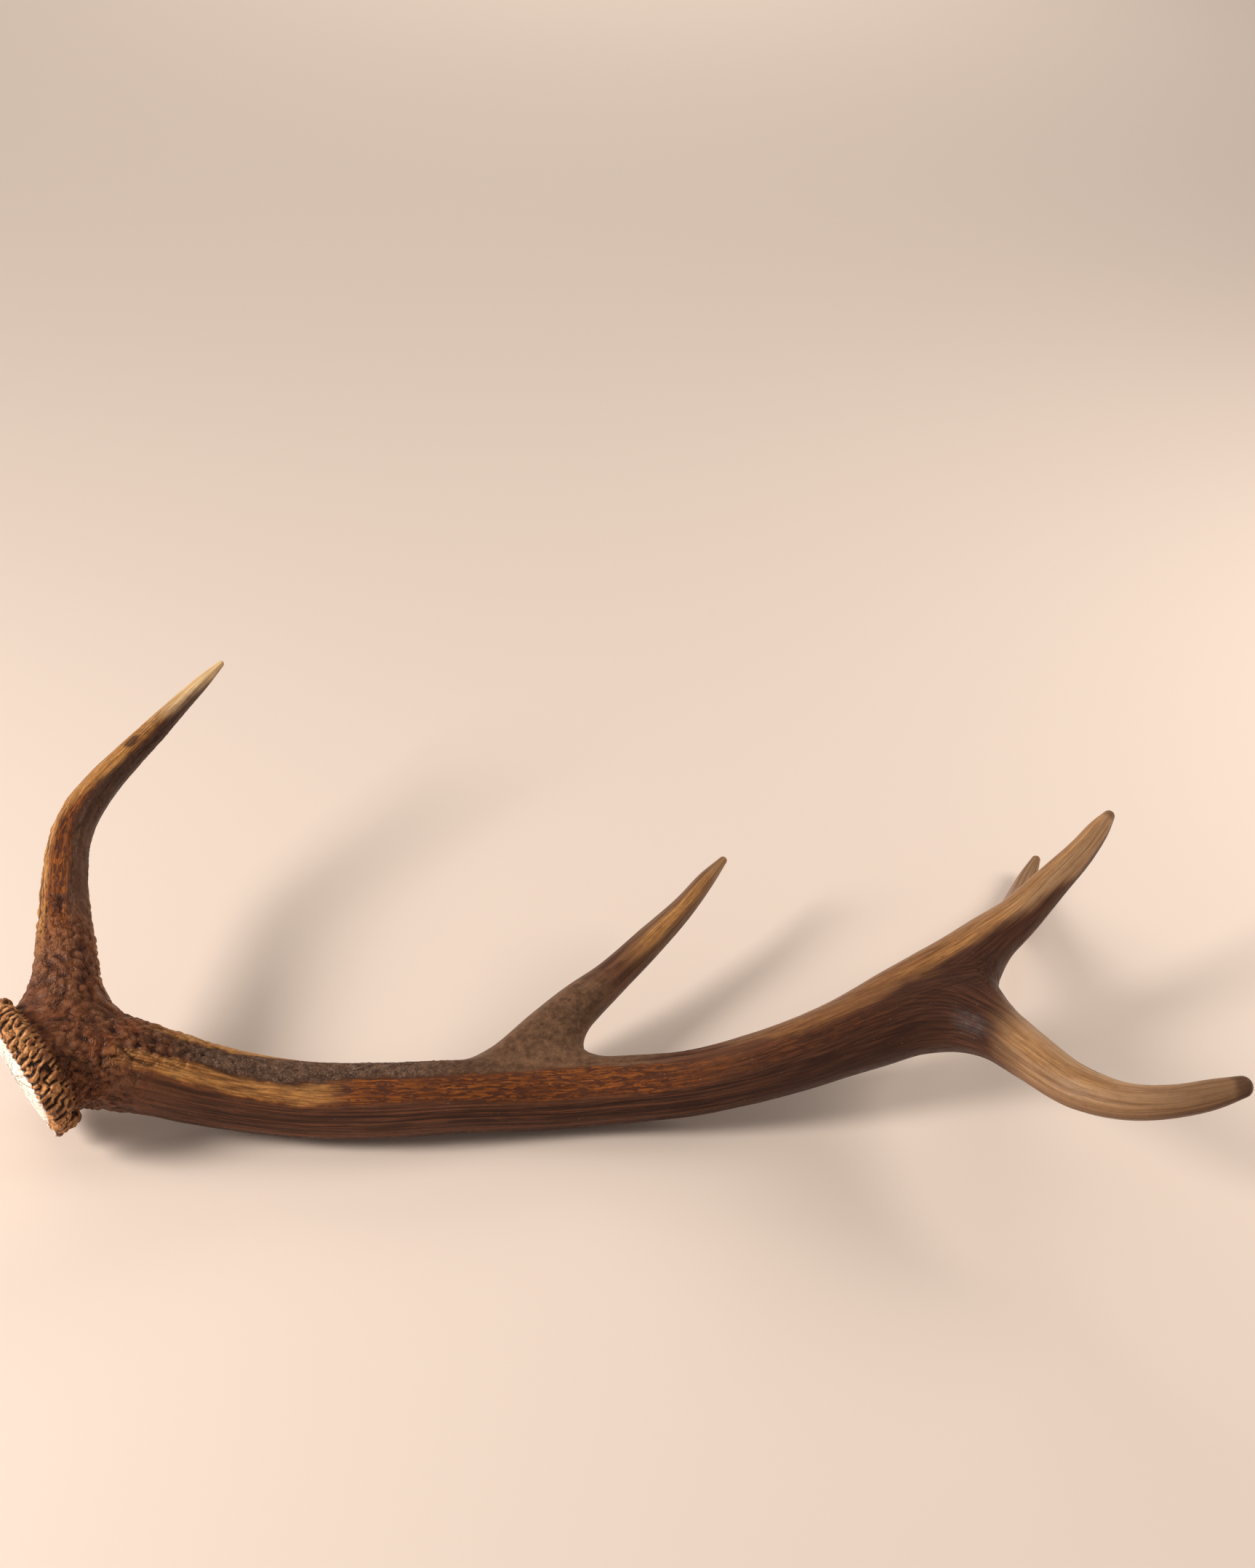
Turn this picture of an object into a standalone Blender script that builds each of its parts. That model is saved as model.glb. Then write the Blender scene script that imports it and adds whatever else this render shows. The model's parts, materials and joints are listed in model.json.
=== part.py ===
"""A cast red deer antler lying on its side, in metres, +Z up.

The antler is one grown, branching piece. It is modelled as one skin around tapered
centre lines, and then parted by thin slots at its main forks: the lower beam with the
burr, the brow tine, the trez tine, the upper beam and the three crown tines.
"""

import math

import bmesh
import bpy
import numpy as np
from mathutils import Vector

MM = 0.001

# ---- driving dimensions, in millimetres ----
ORIGIN = (-3.6, -4.4, -0.2)  # the middle of the footprint, among the stations below
# Stations along each centre line: x to the crown, y to the tines, z up, and radius.
BEAM = [
    (-262, -125, 41, 23.5),
    (-252, -116, 43, 24),
    (-230, -107, 42, 22),
    (-210, -105, 37, 20.3),
    (-180, -102, 26, 18.5),
    (-155, -100, 20, 17.6),
    (-138, -99.3, 18.2, 17.3),
    (-104, -97, 18.6, 17),
    (-70, -91.4, 19.2, 16.7),
    (-15, -79.7, 15.7, 16),
    (10, -77, 18.5, 15.5),
    (40, -74, 23, 15.2),
    (68, -68, 29, 15.7),
    (94, -60.5, 36, 16.8),
    (118, -51.5, 43, 17.8),
    (140, -43, 49, 17),
    (157, -37.5, 54.5, 15.3),
    (169, -34.5, 58.5, 12.6),
]
BROW_TINE = [
    (-240, -108, 46, 18),
    (-243, -92, 53, 16.8),
    (-247.6, -72, 60, 14.2),
    (-254, -50, 66, 12.2),
    (-260.4, -26, 73, 10.6),
    (-264.3, 10, 82, 9.3),
    (-259, 31.4, 87, 8.2),
    (-251, 51.4, 91, 7),
    (-242.6, 69.3, 95, 6.1),
    (-233, 92, 99, 4.8),
    (-224.5, 112, 102.1, 3.4),
    (-219, 125, 104, 1.7),
]
TREZ_TINE = [
    (-68, -85, 19, 9),
    (-46, -73, 22, 12),
    (-28.5, -54.5, 27, 12.8),
    (-15.6, -37.4, 31, 11),
    (-1, -19, 34, 8.8),
    (16, 4.8, 38, 7.6),
    (34.3, 32.6, 42, 5.6),
    (44.5, 51.5, 44.3, 4.3),
    (52.3, 65, 46, 2.2),
]
UPPER_CROWN_TINE = [
    (104, -55, 40, 12),
    (124, -42.5, 46.5, 14.6),
    (144, -30.5, 53, 15),
    (163, -18.5, 59, 14.5),
    (178.5, -6.5, 65.5, 12.8),
    (192.6, 4.6, 72, 10.6),
    (209.6, 21.4, 82, 8.5),
    (226.8, 39.6, 91, 6.6),
    (235.5, 51, 96, 5.1),
    (240.6, 57.9, 98.7, 3.1),
]
OUTER_CROWN_TINE = [
    (104, -58, 37, 12),
    (124, -52, 43, 15.5),
    (144, -47, 49, 16.5),
    (162, -49.5, 53.5, 15.4),
    (176.4, -61, 58.5, 13.2),
    (189.6, -81.6, 64, 11.3),
    (208, -106, 70, 9.6),
    (225, -117.5, 76, 7.9),
    (243, -122, 83, 7),
    (258, -122, 89, 6.3),
    (267.4, -121.6, 93.4, 4.8),
]
REAR_CROWN_TINE = [
    (146, -30, 50, 9),
    (172, -8, 46, 10.8),
    (186, 16, 39, 10.5),
    (198, 45, 28, 9),
    (210, 76, 15.4, 7.8),
    (220, 104, 7, 6.8),
    (226, 120, 8, 5),
    (231.5, 132.5, 11, 2.6),
]
# How near each tine comes to the rest before the skin fills the fork between them.
WEB_REACH = (26, 22, 24, 26, 16)
WEB_LEAST = 0.15  # the share of that reach left where two skins run alike
PATH_STEP = 1.5  # spacing of the points read from each centre line
POINTS_AT_ONCE = 4000  # how many places are measured against a centre line together

BURR_CENTRE = (-252, -116, 43)
BURR_NORMAL = (-0.74, -0.64, -0.2)  # points out of the cast face
BURR_RING_RADIUS = 25.5
BURR_RING_THICKNESS = 5
BURR_RING_WEB = 5  # how near the ring comes to the beam before the skin fills between
BURR_BEADS = 32
BURR_TURN = 2 * math.pi / BURR_BEADS
BEAD_RADIUS = 3.6
BEAD_SUNK = 0.35  # the share of its radius that a bead's middle lies inside the ring's rim
BEAD_REACH = 4  # how far a bead runs each way along the burr's axis
BEAD_ROW = 4  # spheres that make up one bead
BEAD_TAPER = 0.05  # the share of its radius that a bead loses per millimetre from its middle
BEAD_WEB = 1.5
BURR_SPACE = 60  # the beads touch nothing farther than this from the burr's centre
SEAL_OFFSET = 6.5  # from the burr's centre out to its flat cast face
SEAL_CUT_RADIUS = 45
SEAL_CUT_DEPTH = 30

PEARL_HEIGHT = 1.5
PEARL_SPREAD = 2.6
PEARL_LOWEST_SIDE = -0.6  # the underside, from here down, is worn smooth
PEARL_CROWDING = 1.4  # over 1, the pearls crowd towards the start of their stretch
# Each pearled stretch: the number of its branch, its two ends along it, and its pearls.
PEARL_STRETCHES = ((0, 12, 190, 70), (1, 18, 120, 38))
GROOVE_DEPTH = 1.1
GROOVE_CELL = (9, 9, 120)  # grain of the grooves across a branch, twice, and along it
GROOVE_FULL_RADIUS = 12  # a branch this thick has grooves of the full depth
GROOVE_LEAST = 0.15  # the share of that depth left at a tip
GROOVE_OVERLAP = 6  # depth inside the skin at which one branch's grooves give way
BRANCH_SHIFT = 17.3  # keeps the grooves of two branches from being alike

END_ANGLES = (0.35, 0.7, 1.0, 1.25, 1.45)  # radians round from a tip's girth to its end
VOXEL = 1.5
SMOOTH_ROUNDS = 12  # relax the voxel steps before the skin is drawn on to the field
FIELD_ROUNDS = 4
TRIANGLES = 8500
SLOT = 0.3  # gap between the pieces at a fork
SHARP_ANGLE = math.radians(50)

# Each slot: centre, the direction that the branch runs there, and the slot's radius.
SLOTS = {
    "beam": ((27, -75.5, 21), (0.97, 0.13, 0.2), 26),
    "brow": ((-250, -60, 63), (-0.3, 0.9, 0.28), 29),
    "trez": ((-9, -32, 32), (0.55, 0.82, 0.16), 24),
    "upper_crown": ((199, 9, 75), (0.62, 0.64, 0.42), 19),
    "outer_crown": ((186, -71, 62), (0.5, -0.84, 0.2), 20),
    "rear_crown": ((189, 23, 37.5), (0.38, 0.85, -0.36), 15.5),
}

# Each piece: a point on its centre line, its colour, and its roughness.
PIECES = {
    "lower_beam": ((-130, -98, 17), (0.16, 0.075, 0.04), 0.55),
    "brow_tine": ((-266, 10, 82), (0.27, 0.13, 0.06), 0.45),
    "trez_tine": ((16, 5, 38), (0.24, 0.15, 0.08), 0.45),
    "upper_beam": ((94, -60, 36), (0.13, 0.075, 0.045), 0.45),
    "upper_crown_tine": ((227, 41, 91), (0.25, 0.17, 0.1), 0.38),
    "outer_crown_tine": ((243, -122, 83), (0.24, 0.17, 0.11), 0.38),
    "rear_crown_tine": ((209, 75, 17.5), (0.42, 0.3, 0.18), 0.38),
}


def clear_scene():
    for obj in list(bpy.data.objects):
        bpy.data.objects.remove(obj, do_unlink=True)


def new_collection(name):
    collection = bpy.data.collections.new(name)
    bpy.context.scene.collection.children.link(collection)
    return collection


# ---- centre lines ----


def smooth_path(stations, step=PATH_STEP):
    """Points and radii every step along a smooth curve through the stations."""
    knots = np.array(stations, float)
    gaps = np.linalg.norm(np.diff(knots[:, :3], axis=0), axis=1)
    at = np.concatenate([[0], np.cumsum(gaps)])
    slopes = np.gradient(knots, at, axis=0)
    s = np.linspace(0, at[-1], int(at[-1] / step) + 1)
    i = np.clip(np.searchsorted(at, s, side="right") - 1, 0, len(gaps) - 1)
    h = gaps[i][:, None]
    t = ((s - at[i]) / gaps[i])[:, None]
    curve = (
        (1 + 2 * t) * (1 - t) ** 2 * knots[i]
        + t * (1 - t) ** 2 * h * slopes[i]
        + t**2 * (3 - 2 * t) * knots[i + 1]
        + t**2 * (t - 1) * h * slopes[i + 1]
    )
    return curve[:, :3], curve[:, 3]


def carried_frames(points):
    """A direction along the path and two across it that turn as little as they can."""
    along = np.gradient(points, axis=0)
    along /= np.linalg.norm(along, axis=1)[:, None]
    side = np.cross(along[0], (0, 0, 1.0))
    sides = []
    for direction in along:
        side = side - direction * side.dot(direction)
        side = side / np.linalg.norm(side)
        sides.append(side)
    sides = np.array(sides)
    return along, sides, np.cross(along, sides)


class Branch:
    """One tapered stretch of the antler around its centre line."""

    def __init__(self, stations):
        self.points, self.radii = smooth_path(stations)
        self.along, self.across, self.up = carried_frames(self.points)

    def nearest(self, places):
        """Distance from each place to the skin, and the index of its centre line point."""
        distance = np.empty(len(places))
        index = np.empty(len(places), int)
        for first in range(0, len(places), POINTS_AT_ONCE):
            part = places[first : first + POINTS_AT_ONCE]
            gap = np.linalg.norm(part[:, None] - self.points[None], axis=2) - self.radii
            best = gap.argmin(axis=1)
            index[first : first + len(part)] = best
            distance[first : first + len(part)] = gap[np.arange(len(part)), best]
        return distance, index

    def local(self, places, index):
        """Places as two offsets across the branch and a length along it."""
        offset = places - self.points[index]
        across = (offset * self.across[index]).sum(axis=1)
        up = (offset * self.up[index]).sum(axis=1)
        along = (offset * self.along[index]).sum(axis=1) + index * PATH_STEP
        return np.stack([across, up, along], axis=1)


def unit(vector):
    vector = np.array(vector, float)
    return vector / np.linalg.norm(vector)


# ---- the skin around the centre lines ----


def blend(first, second, reach):
    """The smooth union of two distance fields, each a pair of distance and direction.

    It fills a fork, where the two skins face each other, and not where they run alike.
    """
    (a, toward_a), (b, toward_b) = first, second
    apart = 1 - (toward_a * toward_b).sum(axis=1)
    reach = reach * np.clip(apart, WEB_LEAST, 1)
    share = np.clip(0.5 + 0.5 * (b - a) / reach, 0, 1)
    distance = b * (1 - share) + a * share - reach * share * (1 - share)
    direction = toward_b * (1 - share)[:, None] + toward_a * share[:, None]
    length = np.maximum(np.linalg.norm(direction, axis=1), 1e-6)
    return distance, direction / length[:, None]


def branch_field(branch, places):
    distance, index = branch.nearest(places)
    offset = places - branch.points[index]
    length = np.maximum(np.linalg.norm(offset, axis=1), 1e-6)
    return distance, offset / length[:, None]


def ring_frame():
    normal = unit(BURR_NORMAL)
    across = unit(np.cross(normal, (0, 0, 1.0)))
    return normal, across, np.cross(normal, across)


def ring_field(places):
    """The burr's ring, a torus round the foot of the beam."""
    normal = unit(BURR_NORMAL)
    offset = places - np.array(BURR_CENTRE, float)
    height = offset @ normal
    radial = offset - height[:, None] * normal
    reach = np.maximum(np.linalg.norm(radial, axis=1), 1e-6)
    from_core = offset - radial / reach[:, None] * BURR_RING_RADIUS
    length = np.maximum(np.linalg.norm(from_core, axis=1), 1e-6)
    return length - BURR_RING_THICKNESS, from_core / length[:, None]


def bead_points():
    """Centres and radii of the burr's beads, each a short row of points along its axis."""
    normal, across, up = ring_frame()
    random = np.random.default_rng(11)
    points, radii = [], []
    for i in range(BURR_BEADS):
        turn = BURR_TURN * (i + random.uniform(-0.25, 0.25))
        radius = BEAD_RADIUS * random.uniform(0.8, 1.15)
        out = BURR_RING_RADIUS + BURR_RING_THICKNESS - BEAD_SUNK * radius
        place = np.array(BURR_CENTRE, float)
        place = place + out * (math.cos(turn) * across + math.sin(turn) * up)
        for shift in np.linspace(-BEAD_REACH, BEAD_REACH - 1, BEAD_ROW):
            points.append(place + shift * normal)
            radii.append(radius * (1 - BEAD_TAPER * abs(shift)))
    return np.array(points), np.array(radii)


def bead_field(places):
    points, radii = bead_points()
    gap = np.linalg.norm(places[:, None] - points[None], axis=2) - radii
    best = gap.argmin(axis=1)
    offset = places - points[best]
    length = np.maximum(np.linalg.norm(offset, axis=1), 1e-6)
    return gap[np.arange(len(places)), best], offset / length[:, None]


def antler_field(branches, places):
    field = branch_field(branches[0], places)
    for branch, reach in zip(branches[1:], WEB_REACH):
        field = blend(field, branch_field(branch, places), reach)
    distance, direction = blend(field, ring_field(places), BURR_RING_WEB)
    near = np.linalg.norm(places - np.array(BURR_CENTRE, float), axis=1) < BURR_SPACE
    beads = blend((distance[near], direction[near]), bead_field(places[near]), BEAD_WEB)
    distance[near], direction[near] = beads
    return distance, direction / np.linalg.norm(direction, axis=1)[:, None]


def lattice_noise(places, seed):
    """Smooth noise between -1 and 1, from values at whole-number places that an integer
    hash makes."""
    cell = np.floor(places).astype(np.int64)
    part = places - cell
    part = part * part * (3 - 2 * part)
    total = np.zeros(len(places))
    for corner in np.ndindex(2, 2, 2):
        corner = np.array(corner)
        x, y, z = (cell + corner).T
        mixed = (x * 374761393 + y * 668265263 + z * 2147483647 + seed * 974634777) & 0xFFFFFFFF
        mixed = ((mixed ^ (mixed >> 13)) * 1274126177) & 0xFFFFFFFF
        value = ((mixed ^ (mixed >> 16)) & 0xFFFF) / 32767.5 - 1
        weight = np.where(corner, part, 1 - part).prod(axis=1)
        total += value * weight
    return total


def groove_relief(branches, places):
    """Long ridges and grooves that run with the grain of each branch and fade at its tip."""
    relief = np.zeros(len(places))
    share_left = np.ones(len(places))
    for number in reversed(range(len(branches))):
        branch = branches[number]
        distance, index = branch.nearest(places)
        local = branch.local(places, index) / GROOVE_CELL
        ridges = lattice_noise(local + number * BRANCH_SHIFT, seed=5)
        fade = np.clip(branch.radii[index] / GROOVE_FULL_RADIUS, GROOVE_LEAST, 1)
        share = np.clip(1 - distance / GROOVE_OVERLAP, 0, 1) * share_left
        relief += ridges * fade * share * GROOVE_DEPTH
        share_left = share_left - share
    return relief


def pearl_places(branches):
    """Scattered pearls on the lower beam and on the foot of the brow tine."""
    random = np.random.default_rng(4)
    points = []
    for number, start, stop, count in PEARL_STRETCHES:
        branch = branches[number]
        lengths = start + (stop - start) * random.random(count) ** PEARL_CROWDING
        turns = random.uniform(0, 2 * math.pi, count)
        for length, turn in zip(lengths, turns):
            i = int(length / PATH_STEP)
            out = math.cos(turn) * branch.across[i] + math.sin(turn) * branch.up[i]
            if out[2] > PEARL_LOWEST_SIDE:
                points.append(branch.points[i] + out * branch.radii[i])
    return np.array(points)


def pearl_relief(pearls, places):
    relief = np.zeros(len(places))
    for pearl in pearls:
        square = ((places - pearl) ** 2).sum(axis=1)
        bump = PEARL_HEIGHT * np.exp(-square / PEARL_SPREAD**2)
        relief = np.maximum(relief, bump)
    return relief


# ---- the mesh ----


def round_end(branch):
    """Points and radii that carry a branch's guide on round its tip."""
    radius = branch.radii[-1]
    points = [branch.points[-1] + radius * math.sin(a) * branch.along[-1] for a in END_ANGLES]
    radii = [radius * math.cos(a) for a in END_ANGLES]
    return points, radii


def tube_mesh(name, branch, collection):
    """One branch as a bevelled curve turned into a mesh, with its caps welded."""
    end_points, end_radii = round_end(branch)
    points = [*branch.points, *end_points]
    radii = [*branch.radii, *end_radii]
    curve = bpy.data.curves.new(name, "CURVE")
    curve.dimensions = "3D"
    curve.bevel_depth = MM
    curve.bevel_resolution = 6
    curve.use_fill_caps = True
    spline = curve.splines.new("POLY")
    spline.points.add(len(points) - 1)
    for point, place, radius in zip(spline.points, points, radii):
        point.co = (*(place * MM), 1)
        point.radius = radius
    guide = bpy.data.objects.new(name, curve)
    collection.objects.link(guide)
    graph = bpy.context.evaluated_depsgraph_get()
    mesh = bpy.data.meshes.new_from_object(guide.evaluated_get(graph))
    bpy.data.objects.remove(guide)
    shape = bmesh.new()
    shape.from_mesh(mesh)
    bmesh.ops.remove_doubles(shape, verts=shape.verts, dist=1e-6)
    shape.to_mesh(mesh)
    shape.free()
    return mesh


def joined_object(name, meshes, collection):
    shape = bmesh.new()
    for mesh in meshes:
        shape.from_mesh(mesh)
        bpy.data.meshes.remove(mesh)
    mesh = bpy.data.meshes.new(name)
    shape.to_mesh(mesh)
    shape.free()
    obj = bpy.data.objects.new(name, mesh)
    collection.objects.link(obj)
    return obj


def burr_blank(collection):
    """A plain ring where the burr will be, so that the skin's mesh reaches all round it."""
    bpy.ops.mesh.primitive_torus_add(
        major_radius=(BURR_RING_RADIUS + BEAD_RADIUS / 2) * MM,
        minor_radius=(BURR_RING_THICKNESS + BEAD_RADIUS / 2) * MM,
        major_segments=64,
        minor_segments=20,
    )
    blank = bpy.context.object
    normal, across, up = ring_frame()
    for vertex in blank.data.vertices:
        x, y, z = vertex.co
        place = np.array(BURR_CENTRE, float) * MM + x * across + y * up + z * normal
        vertex.co = place
    mesh = blank.data.copy()
    bpy.data.objects.remove(blank)
    return mesh


def apply_modifier(obj, kind, **settings):
    modifier = obj.modifiers.new(kind.lower(), kind)
    for key, value in settings.items():
        setattr(modifier, key, value)
    graph = bpy.context.evaluated_depsgraph_get()
    mesh = bpy.data.meshes.new_from_object(obj.evaluated_get(graph))
    obj.modifiers.remove(modifier)
    old = obj.data
    obj.data = mesh
    bpy.data.meshes.remove(old)


def vertex_places(mesh):
    flat = np.empty(len(mesh.vertices) * 3)
    mesh.vertices.foreach_get("co", flat)
    return flat.reshape(-1, 3) / MM


def skin(branches, collection):
    """The whole antler as one mesh: a voxel skin of the tubes, drawn on to the field."""
    meshes = [tube_mesh(f"guide_{i}", branch, collection) for i, branch in enumerate(branches)]
    meshes.append(burr_blank(collection))
    antler = joined_object("antler", meshes, collection)
    apply_modifier(antler, "REMESH", mode="VOXEL", voxel_size=VOXEL * MM)
    apply_modifier(antler, "SMOOTH", factor=0.5, iterations=SMOOTH_ROUNDS)
    places = vertex_places(antler.data)
    for _ in range(FIELD_ROUNDS):
        distance, direction = antler_field(branches, places)
        places = places - distance[:, None] * direction
    relief = groove_relief(branches, places) + pearl_relief(pearl_places(branches), places)
    places = places + relief[:, None] * direction
    antler.data.vertices.foreach_set("co", (places * MM).ravel())
    ratio = TRIANGLES / (2 * len(antler.data.polygons))
    apply_modifier(antler, "DECIMATE", ratio=ratio, use_collapse_triangulate=True)
    return antler


# ---- cuts ----


def disc_cutter(name, centre, normal, radius, thickness, collection):
    """A round cutter, thickness high, centred at centre and facing normal."""
    bpy.ops.mesh.primitive_cylinder_add(radius=radius * MM, depth=thickness * MM, vertices=48)
    cutter = bpy.context.object
    cutter.name = name
    across = unit(np.cross(normal, (0, 0, 1.0)))
    up = np.cross(unit(normal), across)
    for vertex in cutter.data.vertices:
        x, y, z = vertex.co
        vertex.co = np.array(centre, float) * MM + x * across + y * up + z * unit(normal)
    for owner in list(cutter.users_collection):
        owner.objects.unlink(cutter)
    collection.objects.link(cutter)
    cutter.hide_render = True
    cutter.display_type = "WIRE"
    return cutter


def part_at_forks(antler, cutters):
    """Cut the flat cast face and the slots, and give the loose pieces of the mesh."""
    normal = unit(BURR_NORMAL)
    centre = np.array(BURR_CENTRE, float) + normal * (SEAL_OFFSET + SEAL_CUT_DEPTH / 2)
    seal = disc_cutter("seal_cut", centre, normal, SEAL_CUT_RADIUS, SEAL_CUT_DEPTH, cutters)
    tools = [seal]
    for name, (centre, direction, radius) in SLOTS.items():
        tools.append(disc_cutter(f"{name}_slot", centre, direction, radius, SLOT, cutters))
    for tool in tools:
        apply_modifier(antler, "BOOLEAN", operation="DIFFERENCE", object=tool, solver="EXACT")
    return loose_meshes(antler.data)


def loose_meshes(mesh):
    """One mesh for each connected stretch of faces."""
    shape = bmesh.new()
    shape.from_mesh(mesh)
    left = set(shape.verts)
    groups = []
    while left:
        group = {left.pop()}
        rim = list(group)
        while rim:
            vert = rim.pop()
            found = {edge.other_vert(vert) for edge in vert.link_edges} & left
            left -= found
            group |= found
            rim.extend(found)
        groups.append({vert.index for vert in group})
    shape.free()
    return [kept_vertices(mesh, group) for group in groups]


def kept_vertices(mesh, group):
    shape = bmesh.new()
    shape.from_mesh(mesh)
    shape.verts.ensure_lookup_table()
    others = [vert for vert in shape.verts if vert.index not in group]
    bmesh.ops.delete(shape, geom=others, context="VERTS")
    bmesh.ops.triangulate(shape, faces=shape.faces)
    kept = bpy.data.meshes.new("piece")
    shape.to_mesh(kept)
    shape.free()
    return kept


def material(name, colour, roughness):
    made = bpy.data.materials.new(name)
    made.use_nodes = True
    shader = made.node_tree.nodes["Principled BSDF"]
    shader.inputs["Base Color"].default_value = (*colour, 1)
    shader.inputs["Roughness"].default_value = roughness
    shader.inputs["Metallic"].default_value = 0
    return made


def name_pieces(meshes, collection):
    """Each mesh becomes the piece whose centre line point it lies nearest to."""
    for name, (point, colour, roughness) in PIECES.items():
        gaps = [np.linalg.norm(vertex_places(mesh) - point, axis=1).min() for mesh in meshes]
        mesh = meshes[int(np.argmin(gaps))]
        mesh.name = name
        mesh.shade_smooth()
        mesh.set_sharp_from_angle(angle=SHARP_ANGLE)
        mesh.materials.clear()
        mesh.materials.append(material(f"{name}_surface", colour, roughness))
        piece = bpy.data.objects.new(name, mesh)
        piece.location = Vector(ORIGIN) * -MM
        collection.objects.link(piece)


def main():
    clear_scene()
    antler_parts = new_collection("deer_antler")
    cutters = new_collection("cutters")
    cutters.hide_render = True
    stations = (
        BEAM,
        BROW_TINE,
        TREZ_TINE,
        UPPER_CROWN_TINE,
        OUTER_CROWN_TINE,
        REAR_CROWN_TINE,
    )
    branches = [Branch(rows) for rows in stations]
    antler = skin(branches, antler_parts)
    meshes = part_at_forks(antler, cutters)
    bpy.data.objects.remove(antler)
    name_pieces(meshes, antler_parts)


main()
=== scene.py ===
"""A cast deer antler lying on pale paper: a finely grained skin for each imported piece."""

import functools
import json
import math

import bmesh
import bpy
import numpy as np
from mathutils import Matrix, Vector

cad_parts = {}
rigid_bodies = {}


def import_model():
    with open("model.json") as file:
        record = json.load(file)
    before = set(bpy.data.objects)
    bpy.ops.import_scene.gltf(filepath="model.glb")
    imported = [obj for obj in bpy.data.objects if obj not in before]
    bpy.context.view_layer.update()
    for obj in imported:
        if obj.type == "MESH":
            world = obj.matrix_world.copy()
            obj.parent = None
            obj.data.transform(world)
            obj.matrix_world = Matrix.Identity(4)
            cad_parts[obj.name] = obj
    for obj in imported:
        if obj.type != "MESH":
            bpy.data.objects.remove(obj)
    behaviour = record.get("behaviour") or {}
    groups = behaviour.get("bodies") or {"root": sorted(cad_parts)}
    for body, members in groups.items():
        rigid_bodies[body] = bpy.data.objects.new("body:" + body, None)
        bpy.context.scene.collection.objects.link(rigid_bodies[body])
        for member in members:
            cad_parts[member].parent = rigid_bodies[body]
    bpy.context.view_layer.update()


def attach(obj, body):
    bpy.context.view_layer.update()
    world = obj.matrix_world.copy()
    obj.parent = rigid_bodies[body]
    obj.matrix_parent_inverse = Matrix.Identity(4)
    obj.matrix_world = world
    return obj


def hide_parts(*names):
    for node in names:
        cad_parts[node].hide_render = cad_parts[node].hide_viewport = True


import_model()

MM = 0.001


def unit(vector):
    vector = np.array(vector, float)
    return vector / np.linalg.norm(vector)


def lengths(vectors):
    return np.linalg.norm(vectors, axis=-1)


def directed(vectors):
    """Each vector's direction, and its length."""
    length = np.maximum(lengths(vectors), 1e-6)
    return vectors / length[:, None], length


# ---- the shape, in millimetres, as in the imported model's source ----
ORIGIN = (-3.6, -4.4, -0.2)  # the middle of the footprint, among the stations below
# Stations along each centre line: x to the crown, y to the tines, z up, and radius.
BEAM_LINE = [
    (-262, -125, 41, 23.5), (-252, -116, 43, 24), (-230, -107, 42, 22),
    (-210, -105, 37, 20.3), (-180, -102, 26, 18.5), (-155, -100, 20, 17.6),
    (-138, -99.3, 18.2, 17.3), (-104, -97, 18.6, 17), (-70, -91.4, 19.2, 16.7),
    (-15, -79.7, 15.7, 16), (10, -77, 18.5, 15.5), (40, -74, 23, 15.2),
    (68, -68, 29, 15.7), (94, -60.5, 36, 16.8), (118, -51.5, 43, 17.8),
    (140, -43, 49, 17), (157, -37.5, 54.5, 15.3), (169, -34.5, 58.5, 12.6),
]
BROW_LINE = [
    (-240, -108, 46, 18), (-243, -92, 53, 16.8), (-247.6, -72, 60, 14.2),
    (-254, -50, 66, 12.2), (-260.4, -26, 73, 10.6), (-264.3, 10, 82, 9.3),
    (-259, 31.4, 87, 8.2), (-251, 51.4, 91, 7), (-242.6, 69.3, 95, 6.1),
    (-233, 92, 99, 4.8), (-224.5, 112, 102.1, 3.4), (-219, 125, 104, 1.7),
]
TREZ_LINE = [
    (-68, -85, 19, 9), (-46, -73, 22, 12), (-28.5, -54.5, 27, 12.8),
    (-15.6, -37.4, 31, 11), (-1, -19, 34, 8.8), (16, 4.8, 38, 7.6),
    (34.3, 32.6, 42, 5.6), (44.5, 51.5, 44.3, 4.3), (52.3, 65, 46, 2.2),
]
UPPER_LINE = [
    (104, -55, 40, 12), (124, -42.5, 46.5, 14.6), (144, -30.5, 53, 15),
    (163, -18.5, 59, 14.5), (178.5, -6.5, 65.5, 12.8), (192.6, 4.6, 72, 10.6),
    (209.6, 21.4, 82, 8.5), (226.8, 39.6, 91, 6.6), (235.5, 51, 96, 5.1),
    (240.6, 57.9, 98.7, 3.1),
]
OUTER_LINE = [
    (104, -58, 37, 12), (124, -52, 43, 15.5), (144, -47, 49, 16.5),
    (162, -49.5, 53.5, 15.4), (176.4, -61, 58.5, 13.2), (189.6, -81.6, 64, 11.3),
    (208, -106, 70, 9.6), (225, -117.5, 76, 7.9), (243, -122, 83, 7),
    (258, -122, 89, 6.3), (267.4, -121.6, 93.4, 4.8),
]
REAR_LINE = [
    (146, -30, 50, 9), (172, -8, 46, 10.8), (186, 16, 39, 10.5),
    (198, 45, 28, 9), (210, 76, 15.4, 7.8), (220, 104, 7, 6.8),
    (226, 120, 8, 5), (231.5, 132.5, 11, 2.6),
]
CENTRE_LINES = (BEAM_LINE, BROW_LINE, TREZ_LINE, UPPER_LINE, OUTER_LINE, REAR_LINE)
BEAM, BROW, TREZ, UPPER, OUTER, REAR = range(6)  # each branch's place in that row
GRAIN_FAMILIES = {"a": (BEAM,), "b": (BROW, TREZ, UPPER), "c": (OUTER, REAR)}
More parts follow.
